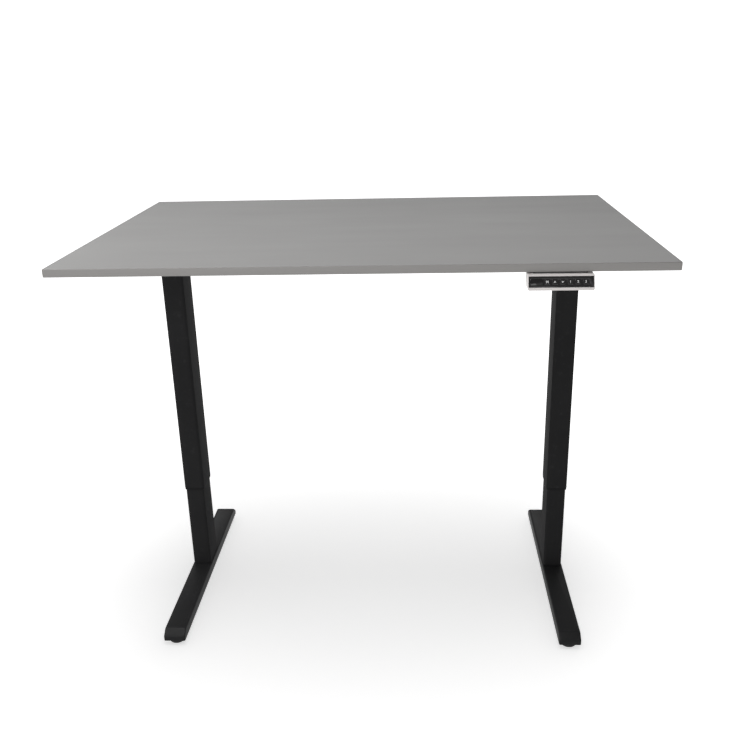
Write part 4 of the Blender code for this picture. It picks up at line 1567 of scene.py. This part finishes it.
class Harness:
    """The two motor leads and the handset's lead, and the clips that hold the last one up."""

    BOX_X = 0.1103
    LEAD_Z = 0.8835
    CLIPS = (((0.330, -0.200), (-0.032, 0.070)), ((0.3635, -0.274), (-0.045, 0.070)))

    def build(self) -> None:
        """Builds and dresses every lead and clip."""
        for side in Side:
            route = self._motor_route(side)
            Lead(f"drive_lead_{side.word}", f"motor_lead_{side.word}", route, 0.0025).build()
        Lead("handset_lead", "keypad_lead", self._keypad_route(), 0.0020).build()
        self._clips()

    def _motor_route(self, side: Side) -> list[Vector]:
        """The way from a motor to the control box.

        Args:
            side: which motor.

        Returns:
            The points that the lead runs through.
        """
        start = COLUMN_X - 0.023 - 0.085 - 0.006 - 2 * GAP
        route = [
            (start, 0.022, GEAR_Z), (start - 0.020, 0.022, GEAR_Z - 0.001),
            (start - 0.060, 0.018, GEAR_Z - 0.008), (start - 0.110, 0.014, GEAR_Z - 0.004),
            (self.BOX_X + 0.045, 0.019, self.LEAD_Z - 0.004),
            (self.BOX_X + 0.018, 0.022, self.LEAD_Z), (self.BOX_X, 0.022, self.LEAD_Z),
        ]
        return [Vector((side.value * x, DESK_Y + side.value * y, z)) for x, y, z in route]

    def _keypad_route(self) -> list[Vector]:
        """The way from the handset, up to the board, under the front rail and to the control box.

        Returns:
            The points that the lead runs through.
        """
        rail_y = DESK_Y - 0.063
        under_rail = UNDERSIDE - 0.0445
        start_z = UNDERSIDE - 0.012
        route = [
            (HANDSET_X, FRONT_Y + HANDSET_TAIL + GAP, start_z),
            (HANDSET_X, FRONT_Y + 0.056, start_z + 0.001),
            (0.362, -0.270, UNDERSIDE - 0.004), (0.330, -0.200, UNDERSIDE - 0.003),
            (0.285, -0.130, UNDERSIDE - 0.006), (0.255, -0.085, UNDERSIDE - 0.022),
            (0.232, rail_y - 0.012, under_rail + 0.001), (0.212, rail_y + 0.010, under_rail),
            (0.190, DESK_Y - 0.034, under_rail + 0.008), (0.162, DESK_Y - 0.022, self.LEAD_Z - 0.004),
            (self.BOX_X + 0.016, DESK_Y - 0.020, self.LEAD_Z), (self.BOX_X, DESK_Y - 0.020, self.LEAD_Z),
        ]
        return [Vector(point) for point in route]

    def _clips(self) -> None:
        """Builds the saddles that pin the handset's lead to the board, with their screws."""
        saddles = []
        screws = ScrewSet("clip_screws", "desk", CASE_SCREW)
        for spot, way in self.CLIPS:
            along = Vector((*way, 0)).normalized()
            saddles.append(self._saddle(Vector((*spot, UNDERSIDE)), along, screws))
        dress(joined("lead_clips", saddles), "desk", BLACK_PLASTIC)
        screws.build()

    @staticmethod
    def _saddle(spot: Vector, along: Vector, screws: ScrewSet) -> Piece:
        """One saddle over the lead.

        Args:
            spot: the point of the board above the lead.
            along: the lead's direction.
            screws: the set that its screw is added to.

        Returns:
            The saddle.
        """
        across = along.cross(UP)
        half_width, thick, reach, drop, tab = 0.0040, 0.0010, 0.0028, 0.0026, 0.0080
        seat, swell = -0.0004, reach + thick
        turn = [math.pi * i / 8 for i in range(9)]
        arch = [(-reach - 0.0005, 0.0)]
        arch += [(-reach * math.cos(a), -drop - reach * math.sin(a)) for a in turn]
        arch += [(reach, seat), (reach + tab, seat)]
        outer = [(-swell, 0.0)]
        outer += [(-swell * math.cos(a), -drop - swell * math.sin(a)) for a in turn]
        outer += [(swell, seat - thick), (reach + tab, seat - thick)]
        loops = []
        for step in (-half_width, half_width):
            loops.append([spot + along * step + across * x + UP * z for x, z in arch + outer[::-1]])
        screws.add(spot + across * (reach + 0.0048) + UP * (seat - thick), DOWN)
        return loft("saddle", loops)


# ------------------------------------------------------------------ the studio
@dataclass(frozen=True)
class Softbox:
    """A big soft light: where it hangs, what it points at, its size and its power."""

    name: str
    place: tuple[float, float, float]
    target: tuple[float, float, float]
    size: tuple[float, float]
    power: float

    def build(self, lights: bpy.types.Collection) -> None:
        """Builds the light.

        Args:
            lights: the collection that says what the light falls on.
        """
        light = bpy.data.lights.new(self.name, "AREA")
        light.shape = "RECTANGLE"
        light.size, light.size_y = self.size
        light.energy = self.power
        obj = linked(self.name, light)
        place = Vector(self.place)
        obj.matrix_world = facing(place - Vector(self.target), place)
        obj.light_linking.receiver_collection = lights


@dataclass
class Studio:
    """The pale floor, the soft light and the camera."""

    softboxes: tuple[Softbox, ...] = (
        Softbox("key_light", (-2.2, -0.5, 2.3), (-0.3, 0.0, 0.8), (1.8, 1.8), 57.0),
        Softbox("top_light", (-0.6, -1.35, 3.0), (-0.1, -0.35, 0.2), (1.8, 0.8), 42.0),
        Softbox("front_fill", (-0.8, -3.4, 1.2), (0.0, 0.0, 0.7), (2.4, 1.6), 17.0),
    )
    floor_light: Softbox = Softbox("floor_light", (0.05, 0.05, 3.0), (0.05, 0.05, 0.0), (1.9, 2.5), 46.0)
    sky: float = 1.10
    front_share: float = 0.55
    overhead_share: float = 0.35
    lens: float = 41.34
    eye: tuple[float, float, float] = (0.1171, -1.9634, 1.2867)
    pitch: float = 0.3564
    yaw: float = 0.0550
    roll: float = -0.0246

    def build(self) -> None:
        """Builds the studio."""
        floor = self._floor()
        self._world()
        for softbox in self.softboxes:
            softbox.build(self._falls_on("all_but_the_floor", floor, "EXCLUDE"))
        self.floor_light.build(self._falls_on("the_floor", floor, "INCLUDE"))
        self._camera()
        bpy.context.scene.view_settings.view_transform = "Standard"

    @staticmethod
    def _falls_on(name: str, floor: Piece, state: str) -> bpy.types.Collection:
        """Says whether a light falls on the floor.

        Args:
            name: the collection's name.
            floor: the floor.
            state: INCLUDE for the floor alone, or EXCLUDE for all the rest.

        Returns:
            The collection that the light takes.
        """
        chosen = bpy.data.collections.new(name)
        chosen.objects.link(floor)
        chosen.collection_objects[0].light_linking.link_state = state
        return chosen

    @staticmethod
    def _floor() -> Piece:
        """Builds the floor.

        Returns:
            The floor.
        """
        half = 9.0
        corners = [(-half, -half, 0), (half, -half, 0), (half, half, 0), (-half, half, 0)]
        mesh = bpy.data.meshes.new("studio_floor")
        mesh.from_pydata(corners, [], [(0, 1, 2, 3)])
        mesh.materials.append(FLOOR_PAINT.material())
        floor = linked("studio_floor", mesh)
        return floor

    def _world(self) -> None:
        """Lights the room from a white surround that dims overhead and on the sitter's side."""
        world = bpy.data.worlds.new("surround")
        world.use_nodes = True
        graph = Graph(world.node_tree)
        way = graph.node("ShaderNodeTexCoord", output=0)
        parts = graph.node("ShaderNodeSeparateXYZ", {}, {"Vector": way})
        height = 1.0 - parts.beside("Z").over(0.27, 0.15)
        depth = parts.beside("Y").over(0.45, 0.35)
        sides = depth.spread(self.front_share, 1.0) * height.spread(self.overhead_share, 1.0)
        background = world.node_tree.nodes["Background"]
        world.node_tree.links.new((sides * self.sky).socket, background.inputs["Strength"])
        background.inputs["Color"].default_value = (1.0, 1.0, 1.0, 1.0)
        bpy.context.scene.world = world

    def _camera(self) -> None:
        """Puts the camera at the height and the angle of a standing onlooker."""
        forward = Vector((-math.sin(self.yaw), math.cos(self.yaw), 0))
        right = Vector((math.cos(self.yaw), math.sin(self.yaw), 0))
        ahead = forward * math.cos(self.pitch) - UP * math.sin(self.pitch)
        above = UP * math.cos(self.pitch) + forward * math.sin(self.pitch)
        across = right * math.cos(self.roll) + above * math.sin(self.roll)
        upright = above * math.cos(self.roll) - right * math.sin(self.roll)
        turn = Matrix((across, upright, -ahead)).transposed().to_4x4()
        lens = bpy.data.cameras.new("camera")
        lens.lens = self.lens
        lens.clip_end = 60.0
        camera = linked("camera", lens)
        camera.matrix_world = Matrix.Translation(self.eye) @ turn
        bpy.context.scene.camera = camera


def main() -> None:
    """Builds the desk's looks and its studio, in order from the top down."""
    logging.basicConfig(level=logging.INFO, format="%(message)s")
    Desktop().build()
    UnderFrame().build()
    for side in Side:
        Leg(side).build()
        Drive(side).build()
    Keypad().build()
    ControlBox().build()
    Harness().build()
    Studio().build()


if __name__ == "__main__":
    main()
